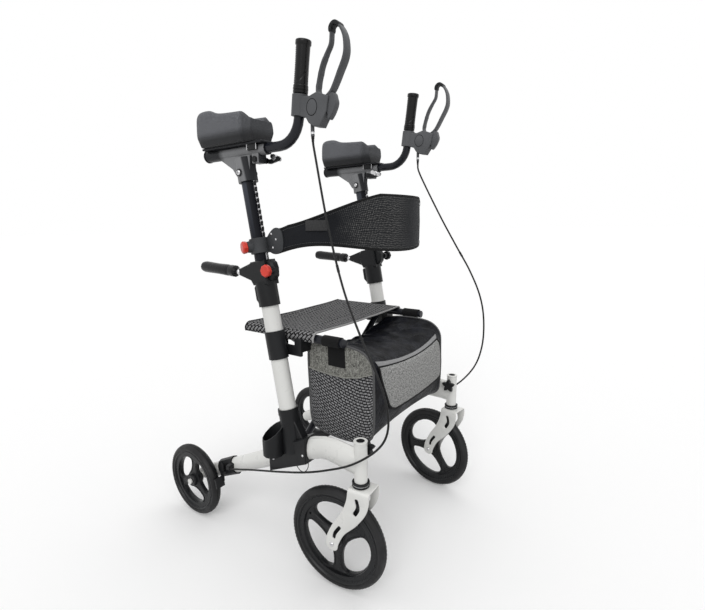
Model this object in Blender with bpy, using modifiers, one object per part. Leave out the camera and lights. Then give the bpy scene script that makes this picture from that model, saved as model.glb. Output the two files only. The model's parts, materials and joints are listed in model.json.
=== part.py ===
"""A forearm rollator: a folding walking frame with four wheels, forearm rests, brakes, a seat and a bag.

Metres, +Z up, the front of the walker towards -Y and its user's right side towards -X.
While the pieces are built, Y sizes are measured rearwards from the caster stems and Z sizes up from
a level DATUM_Z above the floor. The root empty then moves all of it, so that the origin is on the
floor under the middle.
"""

import math

import bmesh
import bpy
from mathutils import Matrix, Vector

# Gap between pieces that touch, and between a shaft and its hole
GAP = 0.0003

# Side frames
DATUM_Z = 0.006
SIDE_X = 0.246
HEAD_OUT = 0.013
HEAD_OUT_FROM_Y = 0.165
LOWER_TUBE_PATH = (
    (0.004, 0.3375, 0.0325),
    (0.035, 0.3410, 0.0325),
    (0.070, 0.3425, 0.0320),
    (0.105, 0.3400, 0.0300),
    (0.135, 0.3320, 0.0285),
    (0.165, 0.3185, 0.0275),
    (0.230, 0.2870, 0.0262),
    (0.330, 0.2386, 0.0245),
    (0.430, 0.1902, 0.0235),
    (0.530, 0.1418, 0.0222),
    (0.601, 0.1075, 0.0205),
    (0.618, 0.0993, 0.0180),
)
LOWER_TUBE_HALF_WIDTH = 0.0155
HEAD_TUBE_R = 0.0155
HEAD_TUBE_Z = (0.2955, 0.3920)
STEM_R = 0.0090

# Masts: the post, the height tube in it and all that they carry
MAST_LEAN = math.radians(10.1)
MAST_FOOT = (0.2193, 0.330)
POST_R = 0.0222
POST_BORE_R = 0.0195
POST_H = (0.010, 0.362)
HEIGHT_TUBE_R = 0.0180
HEIGHT_TUBE_H = (0.205, 0.700)
# The height along the mast at which the head of the height tube is drawn, before it moves to the top
HEAD_DRAWN_H = 0.700
BUSH_LENGTH = 0.025
TOOTH_PITCH = 0.0127
TOOTH_DEPTH = 0.0024
TOOTH_COUNT = 13
TOOTH_START_H = 0.492

# Frame joint and cup
JOINT_COLLAR_R = 0.0265
JOINT_COLLAR_H = (-0.030, 0.083)
SADDLE_Y = (0.160, 0.290)
SADDLE_HALF_WIDTH = 0.0215
SADDLE_WALL = 0.0045
CUP_SIDE = "R"
CUP_R = 0.0290
CUP_WALL = 0.0025
CUP_Z = (0.292, 0.385)
CUP_FLOOR_Z = 0.310
CUP_MOUTH_Z = 0.354
CUP_SLANT = math.radians(36)
CUP_FALL = (0.82, 0.57)
CUP_OFFSET = (0.0340, 0.0380)
EAR_THICKNESS = 0.005
EAR_SPREAD = 0.0300
EAR_R = 0.0125

# Seat bracket, height clamp and backrest ring, by height along the mast
BRACKET_H = (0.213, 0.284)
SLEEVE_WALL = 0.0035
CLAMP_H = (0.404, 0.462)
COLLAR_H = (0.348, CLAMP_H[0] + 0.004)
COLLAR_R = 0.0272
COLLAR_EAR_BACK = 0.0385
CLAMP_HALF_WIDTH = 0.0215
CLAMP_NOSE_HALF = 0.0125
RING_LIFT = 0.018
RING_LENGTH = 0.037
RING_H = (CLAMP_H[1] + RING_LIFT, CLAMP_H[1] + RING_LIFT + RING_LENGTH)
RING_R = 0.0238
KNOB_R = 0.0148
KNOB_THICKNESS = 0.012
KNOB_STEM_R = 0.0050
HEIGHT_KNOB_AT = (0.0390, -0.0420, CLAMP_H[0] + 0.0295)
KNOB_BOSS_OUT = 0.0270
RING_BOSS_REACH = 0.0330
RING_KNOB_TURN = math.radians(25)
KNOB_LOBES = 8

# Side handles
SIDE_HANDLE_Y = (0.398, 0.536)
SIDE_HANDLE_RISE = math.radians(3)
SIDE_HANDLE_R = 0.0155
STEM_BALL_R = 0.0080
WING_TIP = (0.0850, CLAMP_H[0] + 0.0395)

# Cross brace and seat
BRACE_X = 0.202
BRACE_LOW_Z = 0.285
RAIL_Z = 0.592
BRACE_Y = 0.2485
STRUT_SHIFT = 0.0135
STRUT_R = 0.0095
STRUT_EYE_HALF = 0.0105
STRUT_EYE_R = 0.0115
CROSS_PIN_R = 0.0040
HINGE_PIN_R = 0.0050
RAIL_R = 0.0110
RAIL_Y = (0.083, 0.420)
RAIL_EYE_R = 0.0140
CRADLE_Y = ((0.199, 0.221), (0.277, 0.299))
SEAT_Y = (0.166, 0.410)
SEAT_THICKNESS = 0.0032
SEAT_SAG = 0.010

# Forearm rests
TUNNEL_Z = 1.048
TUNNEL_Y = (0.262, 0.478)
TUNNEL_R = 0.0152
BAR_R = 0.0115
TRAY_Z = (1.0585, 1.0635)
TRAY_HALF_WIDTH = 0.026
PAD_BASE_Z = TRAY_Z[1] + GAP
PAD_WALL = 0.013
PAD_FLOOR = 0.020
PAD_STATIONS = (
    (0.2740, 0.0380, 1.1010, 0.004),
    (0.2765, 0.0415, 1.1080, 0.002),
    (0.2850, 0.0430, 1.1145, 0.0),
    (0.2950, 0.0440, 1.1215, 0.0),
    (0.3060, 0.0450, 1.1290, 0.0),
    (0.345, 0.0460, 1.1310, 0.0),
    (0.385, 0.0460, 1.1340, 0.0),
    (0.405, 0.0460, 1.1440, 0.0),
    (0.440, 0.0455, 1.1460, 0.0),
    (0.458, 0.0435, 1.1400, 0.0),
    (0.464, 0.0400, 1.1280, 0.004),
)
SLEEVE_DEPTH = 0.045
BOLT_H = 0.677
BOLT_HEAD_R = 0.0065
HEAD_WALL = 0.0065
BAR_CLAMP_AT = (0.2930, 1.0245)
CLAMP_BOLT_R = 0.0040
WING_LENGTH = 0.044
BAR_END_Y = 0.455

# Handle bars, grips and brake levers
BAR_BEND = (0.1697, TUNNEL_Z)
BAR_BEND_R = 0.060
BAR_LEAN = math.radians(7.6)
BAR_TOP_Z = 1.236
GRIP_R = 0.0165
GRIP_Z = (1.148, 1.251)
CLAMP_Z = (1.103, 1.146)
HOUSING_HALF_WIDTH = 0.0125
SLOT_HALF_WIDTH = 0.0085
LEVER_HALF_WIDTH = 0.0078
LEVER_BAND = 0.0062
LEVER_PIVOT = (0.1110, 1.1180)
LEVER_PIN_R = 0.0030
LEVER_LOOP = (
    (0.0800, 1.1310),
    (0.0680, 1.1390),
    (0.0580, 1.1530),
    (0.0470, 1.1720),
    (0.0370, 1.1890),
    (0.0320, 1.2030),
    (0.0315, 1.2180),
    (0.0345, 1.2350),
    (0.0430, 1.2510),
    (0.0560, 1.2620),
    (0.0665, 1.2570),
    (0.0675, 1.2420),
    (0.0700, 1.2260),
    (0.0800, 1.2110),
    (0.0910, 1.1930),
    (0.0980, 1.1750),
    (0.1030, 1.1580),
    (0.1050, 1.1440),
    (0.0990, 1.1340),
    (0.0900, 1.1290),
)
SLOT_END_Y = 0.1245
SLOT_FLOOR_Z = 1.096
FERRULE_R = 0.0042

# Wheels
FRONT_WHEEL_R = 0.131
REAR_WHEEL_R = 0.110
TYRE_DEPTH = 0.019
TYRE_HALF_WIDTH = 0.0145
RIM_BAND = 0.017
RIM_HALF_WIDTH = 0.0110
WEB_HALF_WIDTH = 0.0055
HUB_R = 0.0190
SPOKE_WIDTH = 0.024
WINDOW_HUB_R = 0.027
WINDOW_SHAPE = 0.62
WINDOW_POINTS = 14
FRONT_WHEEL_TURN = {"R": math.radians(88), "L": math.radians(52)}
REAR_WHEEL_TURN = math.radians(37)
AXLE_R = 0.0050
FRONT_HUB_HALF = 0.0215
REAR_HUB_HALF = 0.0165
REAR_WHEEL_X = 0.287
REAR_AXLE = (0.601, REAR_WHEEL_R - DATUM_Z)
AXLE_CAP = 0.0055
WHEEL_STEPS = 28

# Casters
CASTER_TRAIL = 0.066
CASTER_AXLE = (CASTER_TRAIL, FRONT_WHEEL_R - DATUM_Z)
CASTER_YAW = {"R": math.radians(4.8), "L": math.radians(-8.3)}
FORK_HALF_WIDTH = 0.0275
FORK_SHEET = 0.0035
CROWN_Z = (0.2735, 0.2835)
BEARING_R = 0.0195
FORK_OUTLINE = (
    (-0.0335, 0.2800),
    (-0.0335, 0.2600),
    (-0.0250, 0.2310),
    (0.0000, 0.1950),
    (0.0310, 0.1620),
    (0.0480, 0.1300),
    (0.0520, 0.1140),
    (0.0620, 0.1080),
    (0.0740, 0.1090),
    (0.0820, 0.1190),
    (0.0810, 0.1370),
    (0.0760, 0.1530),
    (0.0610, 0.1830),
    (0.0370, 0.2210),
    (0.0240, 0.2540),
    (0.0205, 0.2800),
)
FORK_UPPER_SLOT = ((-0.0030, 0.2600), (-0.0060, 0.2420), (0.0020, 0.2250))
FORK_LOWER_SLOT = ((0.0440, 0.1760), (0.0560, 0.1580), (0.0600, 0.1450))
STAR_KNOB_Z = 0.366
STAR_KNOB_R = 0.021
STAR_LOBES = 5
STAR_STUD_R = 0.0040

# Rear brakes
BRACKET_SLEEVE_Y = (0.452, 0.512)
BRACKET_WALL = 0.0045
BRAKE_PIVOT = (0.487, 0.158)
BRAKE_PIN_R = 0.0035
ARM_OUT = (0.0245, 0.0285)
SHOE_GAP = 0.005
SHOE_ANGLE = math.radians(167)
SHOE_SWEEP = math.radians(14)

# Brake cables
CABLE_R = 0.0022
CABLE_SIDES_RESOLUTION = 1
CABLE_ROUTE = {
    "R": (
        (SIDE_X, 0.1250, 1.0570),
        (SIDE_X, 0.1248, 1.0450),
        (0.2465, 0.1190, 1.0150),
        (0.2530, 0.0840, 0.8700),
        (0.2600, 0.0400, 0.7350),
        (0.2670, -0.0120, 0.6300),
        (0.2750, -0.0600, 0.5500),
        (0.2830, -0.0850, 0.4900),
        (0.2870, -0.0840, 0.4400),
        (0.2870, -0.0540, 0.3950),
        (0.2860, 0.0080, 0.3450),
        (0.2850, 0.0800, 0.3070),
        (0.2810, 0.1550, 0.2740),
        (0.2780, 0.2400, 0.2450),
        (0.2760, 0.3400, 0.2150),
        (0.2750, 0.4300, 0.1870),
        (0.2750, 0.4440, 0.1860),
    ),
    "L": (
        (SIDE_X, 0.1250, 1.0570),
        (SIDE_X, 0.1248, 1.0450),
        (0.2480, 0.1170, 1.0150),
        (0.2600, 0.0560, 0.8950),
        (0.2700, 0.0060, 0.8050),
        (0.2800, -0.0380, 0.7270),
        (0.2880, -0.0700, 0.6500),
        (0.2930, -0.0830, 0.5750),
        (0.2950, -0.0800, 0.4900),
        (0.2930, -0.0550, 0.4150),
        (0.2900, 0.0050, 0.3450),
        (0.2870, 0.0800, 0.3070),
        (0.2820, 0.1550, 0.2740),
        (0.2780, 0.2400, 0.2450),
        (0.2760, 0.3400, 0.2150),
        (0.2750, 0.4300, 0.1870),
        (0.2750, 0.4440, 0.1860),
    ),
}
CABLE_TURN = math.radians(13)

# Bag
BAG_HALF_WIDTH = 0.186
BAG_OUTLINE = (
    (0.207, 0.562),
    (0.170, 0.578),
    (0.120, 0.582),
    (0.070, 0.580),
    (0.036, 0.570),
    (0.014, 0.545),
    (0.010, 0.500),
    (0.010, 0.400),
    (0.020, 0.360),
    (0.060, 0.342),
    (0.120, 0.338),
    (0.180, 0.346),
    (0.204, 0.370),
    (0.208, 0.450),
)
BAG_TOP_DIP = 0.030
BAG_FRONT_BULGE = 0.012
BAG_LOW_TUCK = 0.022
BAG_LOOP_Y = (0.094, 0.144)
BAG_SECTIONS = (-1, -0.96, -0.72, -0.36, 0, 0.36, 0.72, 0.96, 1)

# Backrest band
PLATE_X = 0.2380
PLATE_THICKNESS = 0.003
PLATE_Y = (0.233, 0.291)
PLATE_Z = (0.800, 0.866)
BAND_DEPTH = 0.232
BAND_THICKNESS = 0.0045
BAND_END_Y = 0.284
BAND_LOW_Z = 0.802
BAND_END_TOP_Z = 0.868
BAND_FRONT_TOP_Z = 0.944
BAND_STEPS = 32
BAND_LOW_RISE = 0.020
BAND_PADDING = 0.005

TUBE_SIDES = 12
OVAL_SIDES = 12
SMALL_SIDES = 8

PAINT = ("white_paint", (0.86, 0.86, 0.84), 0.32, 0.0)
BLACK_PLASTIC = ("black_plastic", (0.025, 0.026, 0.028), 0.42, 0.0)
GREY_PLASTIC = ("grey_plastic", (0.075, 0.078, 0.082), 0.55, 0.0)
RED_PLASTIC = ("red_plastic", (0.72, 0.06, 0.04), 0.38, 0.0)
BLACK_PAINT = ("black_paint", (0.020, 0.022, 0.027), 0.35, 0.2)
STEEL = ("bright_steel", (0.62, 0.62, 0.63), 0.25, 1.0)
FOAM = ("pad_foam", (0.085, 0.088, 0.094), 0.75, 0.0)
RUBBER = ("black_rubber", (0.022, 0.022, 0.023), 0.70, 0.0)
TYRE = ("tyre", (0.035, 0.035, 0.036), 0.80, 0.0)
MESH_FABRIC = ("mesh_fabric", (0.045, 0.045, 0.048), 0.90, 0.0)
MELANGE = ("grey_melange", (0.33, 0.33, 0.32), 0.92, 0.0)
CABLE_SKIN = ("cable_skin", (0.018, 0.018, 0.019), 0.40, 0.0)


def clear_scene():
    for obj in list(bpy.data.objects):
        bpy.data.objects.remove(obj)


def new_collection(name, hidden=False):
    collection = bpy.data.collections.new(name)
    bpy.context.scene.collection.children.link(collection)
    collection.hide_render = hidden
    return collection


def material_of(finish):
    name, colour, roughness, metallic = finish
    found = bpy.data.materials.get(name)
    if found:
        return found
    made = bpy.data.materials.new(name)
    made.use_nodes = True
    shader = made.node_tree.nodes["Principled BSDF"]
    shader.inputs["Base Color"].default_value = (*colour, 1)
    shader.inputs["Roughness"].default_value = roughness
    shader.inputs["Metallic"].default_value = metallic
    made.diffuse_color = (*colour, 1)
    return made


def object_from(bm, name):
    bmesh.ops.recalc_face_normals(bm, faces=bm.faces)
    mesh = bpy.data.meshes.new(name)
    bm.to_mesh(mesh)
    bm.free()
    made = bpy.data.objects.new(name, mesh)
    PARTS.objects.link(made)
    return made


def rotation_to(direction):
    return Vector(direction).to_track_quat("Z", "Y").to_matrix().to_4x4()


def rod(start, end, radius, end_radius=None, sides=TUBE_SIDES):
    """A round solid from start to end, tapered if end_radius is given."""
    start, end = Vector(start), Vector(end)
    bm = bmesh.new()
    place = Matrix.Translation((start + end) / 2) @ rotation_to(end - start)
    bmesh.ops.create_cone(
        bm,
        cap_ends=True,
        segments=sides,
        radius1=radius,
        radius2=radius if end_radius is None else end_radius,
        depth=(end - start).length,
        matrix=place,
    )
    return object_from(bm, "rod")


def bore(radius, sides=SMALL_SIDES):
    """The radius of a faceted bore in which a faceted pin of this radius turns freely."""
    return (radius + GAP) / math.cos(math.pi / sides)


def ball(centre, radius, rings=5):
    bm = bmesh.new()
    place = Matrix.Translation(centre)
    bmesh.ops.create_uvsphere(bm, u_segments=2 * rings, v_segments=rings, radius=radius, matrix=place)
    return object_from(bm, "ball")


def block(low, high, rounding=0.0, turn=0.0):
    """A box from its low corner to its high one, turned about X through its middle."""
    low = Vector(low)
    high = Vector(high)
    bm = bmesh.new()
    bmesh.ops.create_cube(bm, size=1)
    bmesh.ops.scale(bm, verts=bm.verts, vec=[abs(b - a) for a, b in zip(low, high)])
    if rounding:
        bmesh.ops.bevel(bm, geom=bm.edges, offset=rounding, segments=1, affect="EDGES")
    bmesh.ops.transform(bm, verts=bm.verts, matrix=Matrix.Rotation(turn, 4, "X"))
    bmesh.ops.translate(bm, verts=bm.verts, vec=(low + high) / 2)
    return object_from(bm, "block")


def loft(rings, closed=False):
    """A solid skinned over rings of points: capped at both ends, or closed into a loop."""
    bm = bmesh.new()
    rows = [[bm.verts.new(point) for point in ring] for ring in rings]
    pairs = list(zip(rows, rows[1:]))
    if closed:
        pairs.append((rows[-1], rows[0]))
    for row, following in pairs:
        for i in range(len(row)):
            j = (i + 1) % len(row)
            bm.faces.new((row[i], row[j], following[j], following[i]))
    if not closed:
        bm.faces.new(rows[0])
        bm.faces.new(rows[-1])
    return object_from(bm, "loft")


def as_mesh(curve_object):
    """The curve object's mesh with its caps welded, as a new object in its place."""
    bpy.context.view_layer.update()
    graph = bpy.context.evaluated_depsgraph_get()
    mesh = bpy.data.meshes.new_from_object(curve_object.evaluated_get(graph))
    bm = bmesh.new()
    bm.from_mesh(mesh)
    bmesh.ops.transform(bm, verts=bm.verts, matrix=curve_object.matrix_world)
    bmesh.ops.remove_doubles(bm, verts=bm.verts, dist=0.00001)
    bpy.data.objects.remove(curve_object)
    return object_from(bm, "outline")


def plate(outline, x_low, x_high, holes=(), rounding=0.0):
    """A flat piece: outline and holes are (y, z) points, and it runs from x_low to x_high."""
    curve = bpy.data.curves.new("outline", "CURVE")
    curve.dimensions = "2D"
    curve.fill_mode = "BOTH"
    curve.extrude = abs(x_high - x_low) / 2 - rounding
    curve.bevel_depth = rounding
    curve.bevel_resolution = 0
    curve.offset = -rounding
    for loop in (outline, *holes):
        spline = curve.splines.new("POLY")
        spline.points.add(len(loop) - 1)
        for point, (y, z) in zip(spline.points, loop):
            point.co = (y, z, 0, 1)
        spline.use_cyclic_u = True
    made = bpy.data.objects.new("outline", curve)
    PARTS.objects.link(made)
    across = Matrix(((0, 0, 1, (x_low + x_high) / 2), (1, 0, 0, 0), (0, 1, 0, 0), (0, 0, 0, 1)))
    made.matrix_world = across
    return as_mesh(made)


def wire(points, radius, resolution):
    """A round tube along points, with filled ends."""
    curve = bpy.data.curves.new("wire", "CURVE")
    curve.dimensions = "3D"
    curve.bevel_depth = radius
    curve.bevel_resolution = resolution
    curve.use_fill_caps = True
    spline = curve.splines.new("POLY")
    spline.points.add(len(points) - 1)
    for point, place in zip(spline.points, points):
        point.co = (*place, 1)
    made = bpy.data.objects.new("wire", curve)
    PARTS.objects.link(made)
    return made


def turned(profile, centre, direction, steps):
    """A ring turned from a closed profile of (radius, height) points about an axis."""
    bm = bmesh.new()
    corners = [bm.verts.new((radius, 0, height)) for radius, height in profile]
    for a, b in zip(corners, corners[1:] + corners[:1]):
        bm.edges.new((a, b))
    mesh = bpy.data.meshes.new("turned")
    bm.to_mesh(mesh)
    bm.free()
    made = bpy.data.objects.new("turned", mesh)
    PARTS.objects.link(made)
    screw = made.modifiers.new("turn", "SCREW")
    screw.steps = steps
    screw.render_steps = steps
    screw.use_merge_vertices = True
    screw.merge_threshold = 0.00001
    made.matrix_world = Matrix.Translation(centre) @ rotation_to(direction)
    return as_mesh(made)


def combine(target, others, operation):
    for i, other in enumerate(others):
        PARTS.objects.unlink(other)
        TOOLS.objects.link(other)
        other.name = f"{operation.lower()}_tool"
        other.display_type = "WIRE"
        other.hide_render = True
        change = target.modifiers.new(f"{operation.lower()}_{i}", "BOOLEAN")
        change.operation = operation
        change.object = other
    return target


def join(target, *others):
    return combine(target, others, "UNION")


def cut(target, *others):
    return combine(target, others, "DIFFERENCE")


def rest_of(empty):
    bpy.context.view_layer.update()
    return empty.matrix_world.copy()


def hang(obj, body):
    """Makes obj and its tools move with a body's empty, from where they are now."""
    obj.parent = body
    obj.matrix_parent_inverse = rest_of(body).inverted()
    for modifier in obj.modifiers:
        if modifier.type == "BOOLEAN":
            hang(modifier.object, body)


def finish(obj, name, look, body):
    """Names a piece, gives it its material and hangs it from the empty of the body that it moves with."""
    obj.name = name
    obj.data.name = name
    obj.data.materials.clear()
    obj.data.materials.append(material_of(look))
    if obj.type == "MESH":
        obj.data.shade_smooth()
        obj.data.set_sharp_from_angle(angle=math.radians(35))
    if obj.modifiers:
        flats = obj.modifiers.new("flats", "DECIMATE")
        flats.decimate_type = "DISSOLVE"
        flats.angle_limit = math.radians(0.1)
    hang(obj, body)
    return obj


def body_empty(name, place, parent=None):
    """An empty on the axis of a body's joint."""
    made = bpy.data.objects.new(name, None)
    made.empty_display_size = 0.03
    made.location = place
    PARTS.objects.link(made)
    if parent:
        hang(made, parent)
    return made


def at(side, out, y, z):
    """A point beside a side frame: out is measured from its middle plane, away from the walker's middle."""
    return Vector((SIGN[side] * (SIDE_X + out), y, z))


def inside(side, x, y, z):
    return Vector((SIGN[side] * x, y, z))


def mast(side, h, back=0.0, out=0.0):
    """A point h up a mast, then back at a right angle to it, and out to its side."""
    y = MAST_FOOT[0] + h * math.sin(MAST_LEAN) + back * math.cos(MAST_LEAN)
    z = MAST_FOOT[1] + h * math.cos(MAST_LEAN) - back * math.sin(MAST_LEAN)
    return at(side, out, y, z)


def mast_outline(points):
    """(back, h) points on a mast as (y, z) ones."""
    return [tuple(mast("R", h, back))[1:] for back, h in points]


def mast_rod(side, h_low, h_high, radius, sides=TUBE_SIDES):
    return rod(mast(side, h_low), mast(side, h_high), radius, sides=sides)


def bar_y(z):
    """Where the upright stretch of a handle bar is at height z."""
    return BAR_BEND[0] - (z - BAR_BEND[1]) * math.tan(BAR_LEAN)


def bar_rod(side, z_low, z_high, radius):
    return rod(at(side, 0, bar_y(z_low), z_low), at(side, 0, bar_y(z_high), z_high), radius)


def slab(side, outline, out_low, out_high, holes=(), rounding=0.0):
    """A plate parallel to a side frame."""
    ends = [SIGN[side] * (SIDE_X + out) for out in (out_low, out_high)]
    return plate(outline, min(ends), max(ends), holes, rounding)


def side_block(side, out, y, z, rounding=0.0, turn=0.0):
    """A block beside a side frame, from pairs of its low and high sizes."""
    xs = sorted(SIGN[side] * (SIDE_X + o) for o in out)
    return block((xs[0], y[0], z[0]), (xs[1], y[1], z[1]), rounding, turn)


def cross_rod(side, out_low, out_high, y, z, radius, sides=SMALL_SIDES):
    """A round solid along X beside a side frame."""
    return rod(at(side, out_low, y, z), at(side, out_high, y, z), radius, sides=sides)


def lathe(stations, start, direction, sides=TUBE_SIDES):
    """A solid of revolution from (distance, radius) stations along an axis."""
    turn = rotation_to(direction)
    rings = []
    for distance, radius in stations:
        ring = []
        for i in range(sides):
            angle = 2 * math.pi * i / sides
            point = Vector((radius * math.cos(angle), radius * math.sin(angle), distance))
            ring.append(Vector(start) + turn @ point)
        rings.append(ring)
    return loft(rings)


def smooth_line(points, turn):
    """Points on a smooth curve through the given ones, which turns by about turn between two of them."""
    knots = [Vector(p) for p in points]
    ends = [2 * knots[0] - knots[1], *knots, 2 * knots[-1] - knots[-2]]
    line = []
    for a, b, c, d in zip(ends, ends[1:], ends[2:], ends[3:]):
        pieces = max(1, round((c - a).angle(d - b) / turn))
        for i in range(pieces):
            t = i / pieces
            bend = 2 * a - 5 * b + 4 * c - d
            twist = 3 * b - a - 3 * c + d
            line.append((2 * b + (c - a) * t + bend * t * t + twist * t**3) / 2)
    return [*line, knots[-1]]


def rounded_corner(before, corner, after, radius, steps=7):
    """The points of a round bend where a straight line turns a corner."""
    before, corner, after = Vector(before), Vector(corner), Vector(after)
    u = (before - corner).normalized()
    v = (after - corner).normalized()
    half = u.angle(v) / 2
    middle = corner + (u + v).normalized() * radius / math.sin(half)
    first = corner + u * radius / math.tan(half) - middle
    last = corner + v * radius / math.tan(half) - middle
    sweep = first.angle(last)
    bend = []
    for i in range(steps + 1):
        share = i / steps
        a = math.sin((1 - share) * sweep) / math.sin(sweep)
        b = math.sin(share * sweep) / math.sin(sweep)
        bend.append(middle + first * a + last * b)
    return bend


def closed_curve(points, steps):
    """A smooth closed outline through (y, z) points, with some steps to each stretch."""
    count = len(points)
    line = []
    for i in range(count):
        a, b, c, d = (Vector(points[(i + k) % count]) for k in (-1, 0, 1, 2))
        for j in range(steps):
            t = j / steps
            bend = 2 * a - 5 * b + 4 * c - d
            twist = 3 * b - a - 3 * c + d
            line.append((2 * b + (c - a) * t + bend * t * t + twist * t**3) / 2)
    return line


def offset_loop(loop, distance):
    """A closed outline moved sideways, outwards for a positive distance on a counterclockwise one."""
    moved = []
    for i, point in enumerate(loop):
        along = loop[(i + 1) % len(loop)] - loop[i - 1]
        normal = Vector((along.y, -along.x)).normalized()
        moved.append(point + normal * distance)
    return moved


def ribbon(points, width):
    """The outline of a bent slot with blunt round ends."""
    line = [Vector(p) for p in points]
    left, right = [], []
    for i, point in enumerate(line):
        along = (line[min(i + 1, len(line) - 1)] - line[max(i - 1, 0)]).normalized()
        normal = Vector((along.y, -along.x)) * width / 2
        left.append(point + normal)
        right.append(point - normal)
    start = line[0] - (line[1] - line[0]).normalized() * width / 2
    end = line[-1] + (line[-1] - line[-2]).normalized() * width / 2
    return [start, *left, end, *reversed(right)]


def lower_tube(side, extra=0.0, first=0, last=None):
    """The oval lower tube, lofted along its path and grown by extra all round."""
    stations = LOWER_TUBE_PATH[first:last]
    rings = []
    for i, (y, z, half_height) in enumerate(stations):
        before = Vector(stations[max(i - 1, 0)][:2])
        after = Vector(stations[min(i + 1, len(stations) - 1)][:2])
        along = (after - before).normalized()
        lead = HEAD_OUT * (0.5 + 0.5 * math.cos(math.pi * min(1, y / HEAD_OUT_FROM_Y)))
        ring = []
        for k in range(OVAL_SIDES):
            angle = 2 * math.pi * k / OVAL_SIDES
            out = lead + (LOWER_TUBE_HALF_WIDTH + extra) * math.cos(angle)
            rise = (half_height + extra) * math.sin(angle)
            ring.append(at(side, out, y - along.y * rise, z + along.x * rise))
        rings.append(ring)
    return loft(rings)


def lower_tube_z(y, half_heights=0.0):
    """Height of the lower tube's middle at y, or of its edge with half_heights 1 or -1."""
    for (y_a, z_a, h_a), (y_b, z_b, h_b) in zip(LOWER_TUBE_PATH, LOWER_TUBE_PATH[1:]):
        if y <= y_b:
            break
    share = (y - y_a) / (y_b - y_a)
    slope = math.atan2(z_b - z_a, y_b - y_a)
    half = (h_a + (h_b - h_a) * share) / math.cos(slope)
    return z_a + (z_b - z_a) * share + half * half_heights


def make_side_frame(side, body):
    frame = lower_tube(side)
    low, high = HEAD_TUBE_Z
    wheel = REAR_WHEEL_X - SIDE_X
    outer = wheel + REAR_HUB_HALF
    join(
        frame,
        rod(at(side, HEAD_OUT, 0, low), at(side, HEAD_OUT, 0, high), HEAD_TUBE_R),
        cross_rod(side, 0, outer + AXLE_CAP / 2, *REAR_AXLE, AXLE_R),
        cross_rod(side, 0, wheel - REAR_HUB_HALF - GAP, *REAR_AXLE, 0.0095),
        cross_rod(side, outer + GAP, outer + AXLE_CAP, *REAR_AXLE, 0.0085),
    )
    cut(
        frame,
        rod(at(side, HEAD_OUT, 0, low - 0.01), at(side, HEAD_OUT, 0, high - 0.006), bore(STEM_R, TUBE_SIDES)),
        cross_rod(side, HEAD_OUT - 0.030, HEAD_OUT - 0.008, 0, STAR_KNOB_Z, bore(STAR_STUD_R)),
    )
    finish(frame, f"side_frame_{side}", PAINT, body)


def make_frame_joint(side, body):
    """The casting that clamps the lower tube and holds the post. It has the brace's ears and a cup."""
    y_front, y_rear = SADDLE_Y
    wall = SADDLE_WALL
    rows = [y_front + (y_rear - y_front) * i / 4 for i in range(5)]
    bottom = [(y, lower_tube_z(y, -1) - wall) for y in rows]
    top = [(y, lower_tube_z(y, 1) + wall) for y in reversed(rows)]
    saddle = slab(side, bottom + top, -SADDLE_HALF_WIDTH, SADDLE_HALF_WIDTH, rounding=0.002)
    h_low, h_high = JOINT_COLLAR_H
    flare = rod(mast(side, h_low), mast(side, h_high), 0.0300, JOINT_COLLAR_R)
    web = ((-0.048, -0.002), (0.050, -0.040), (0.029, 0.040))
    web += ((0.015, 0.070), (-0.015, 0.070), (-0.029, 0.045))
    join(saddle, flare, slab(side, mast_outline(web), -0.012, 0.012, rounding=0.002))
    for shift in (-EAR_SPREAD, EAR_SPREAD):
        join(saddle, ear(side, BRACE_Y + shift))
    reach = EAR_SPREAD + 0.0055
    tools = [lower_tube(side, GAP), mast_rod(side, POST_H[0] - GAP, h_high + 0.01, POST_R + GAP)]
    if side == CUP_SIDE:
        join(saddle, cup_shell(side))
        tools += [cup_hollow(side), cup_top_cutter(side)]
    cut(saddle, *tools)
    pin = rod(
        inside(side, BRACE_X, BRACE_Y - reach, BRACE_LOW_Z),
        inside(side, BRACE_X, BRACE_Y + reach, BRACE_LOW_Z),
        HINGE_PIN_R,
        sides=SMALL_SIDES,
    )
    join(saddle, pin)
    finish(saddle, f"frame_joint_{side}", BLACK_PLASTIC, body)


def ear(side, y):
    """A flat ear with a round end, across the walker, for the brace's hinge pin."""
    root = SIDE_X - SADDLE_HALF_WIDTH + 0.004
    angles = [math.pi * (0.5 + i / 6) for i in range(7)]
    outline = [(BRACE_X + EAR_R * math.cos(a), BRACE_LOW_Z + EAR_R * math.sin(a)) for a in angles]
    outline += [(root, BRACE_LOW_Z - EAR_R), (root, BRACE_LOW_Z + EAR_R)]
    half = EAR_THICKNESS / 2
    return loft([[inside(side, x, row, z) for x, z in outline] for row in (y - half, y + half)])


def cup_axis(side, z):
    out, back = CUP_OFFSET
    return at(side, out, MAST_FOOT[0] + back, z)


def cup_shell(side):
    return rod(cup_axis(side, CUP_Z[0]), cup_axis(side, CUP_Z[1]), CUP_R * 0.93, CUP_R)


def cup_hollow(side):
    """The cup's inside, which keeps clear of the post."""
    inner = CUP_R - CUP_WALL
    hollow = rod(cup_axis(side, CUP_FLOOR_Z), cup_axis(side, CUP_Z[1] + 0.01), inner * 0.95, inner * 1.01)
    return cut(hollow, rod(mast(side, -0.05), mast(side, 0.15), POST_R + 0.0035))


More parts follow.
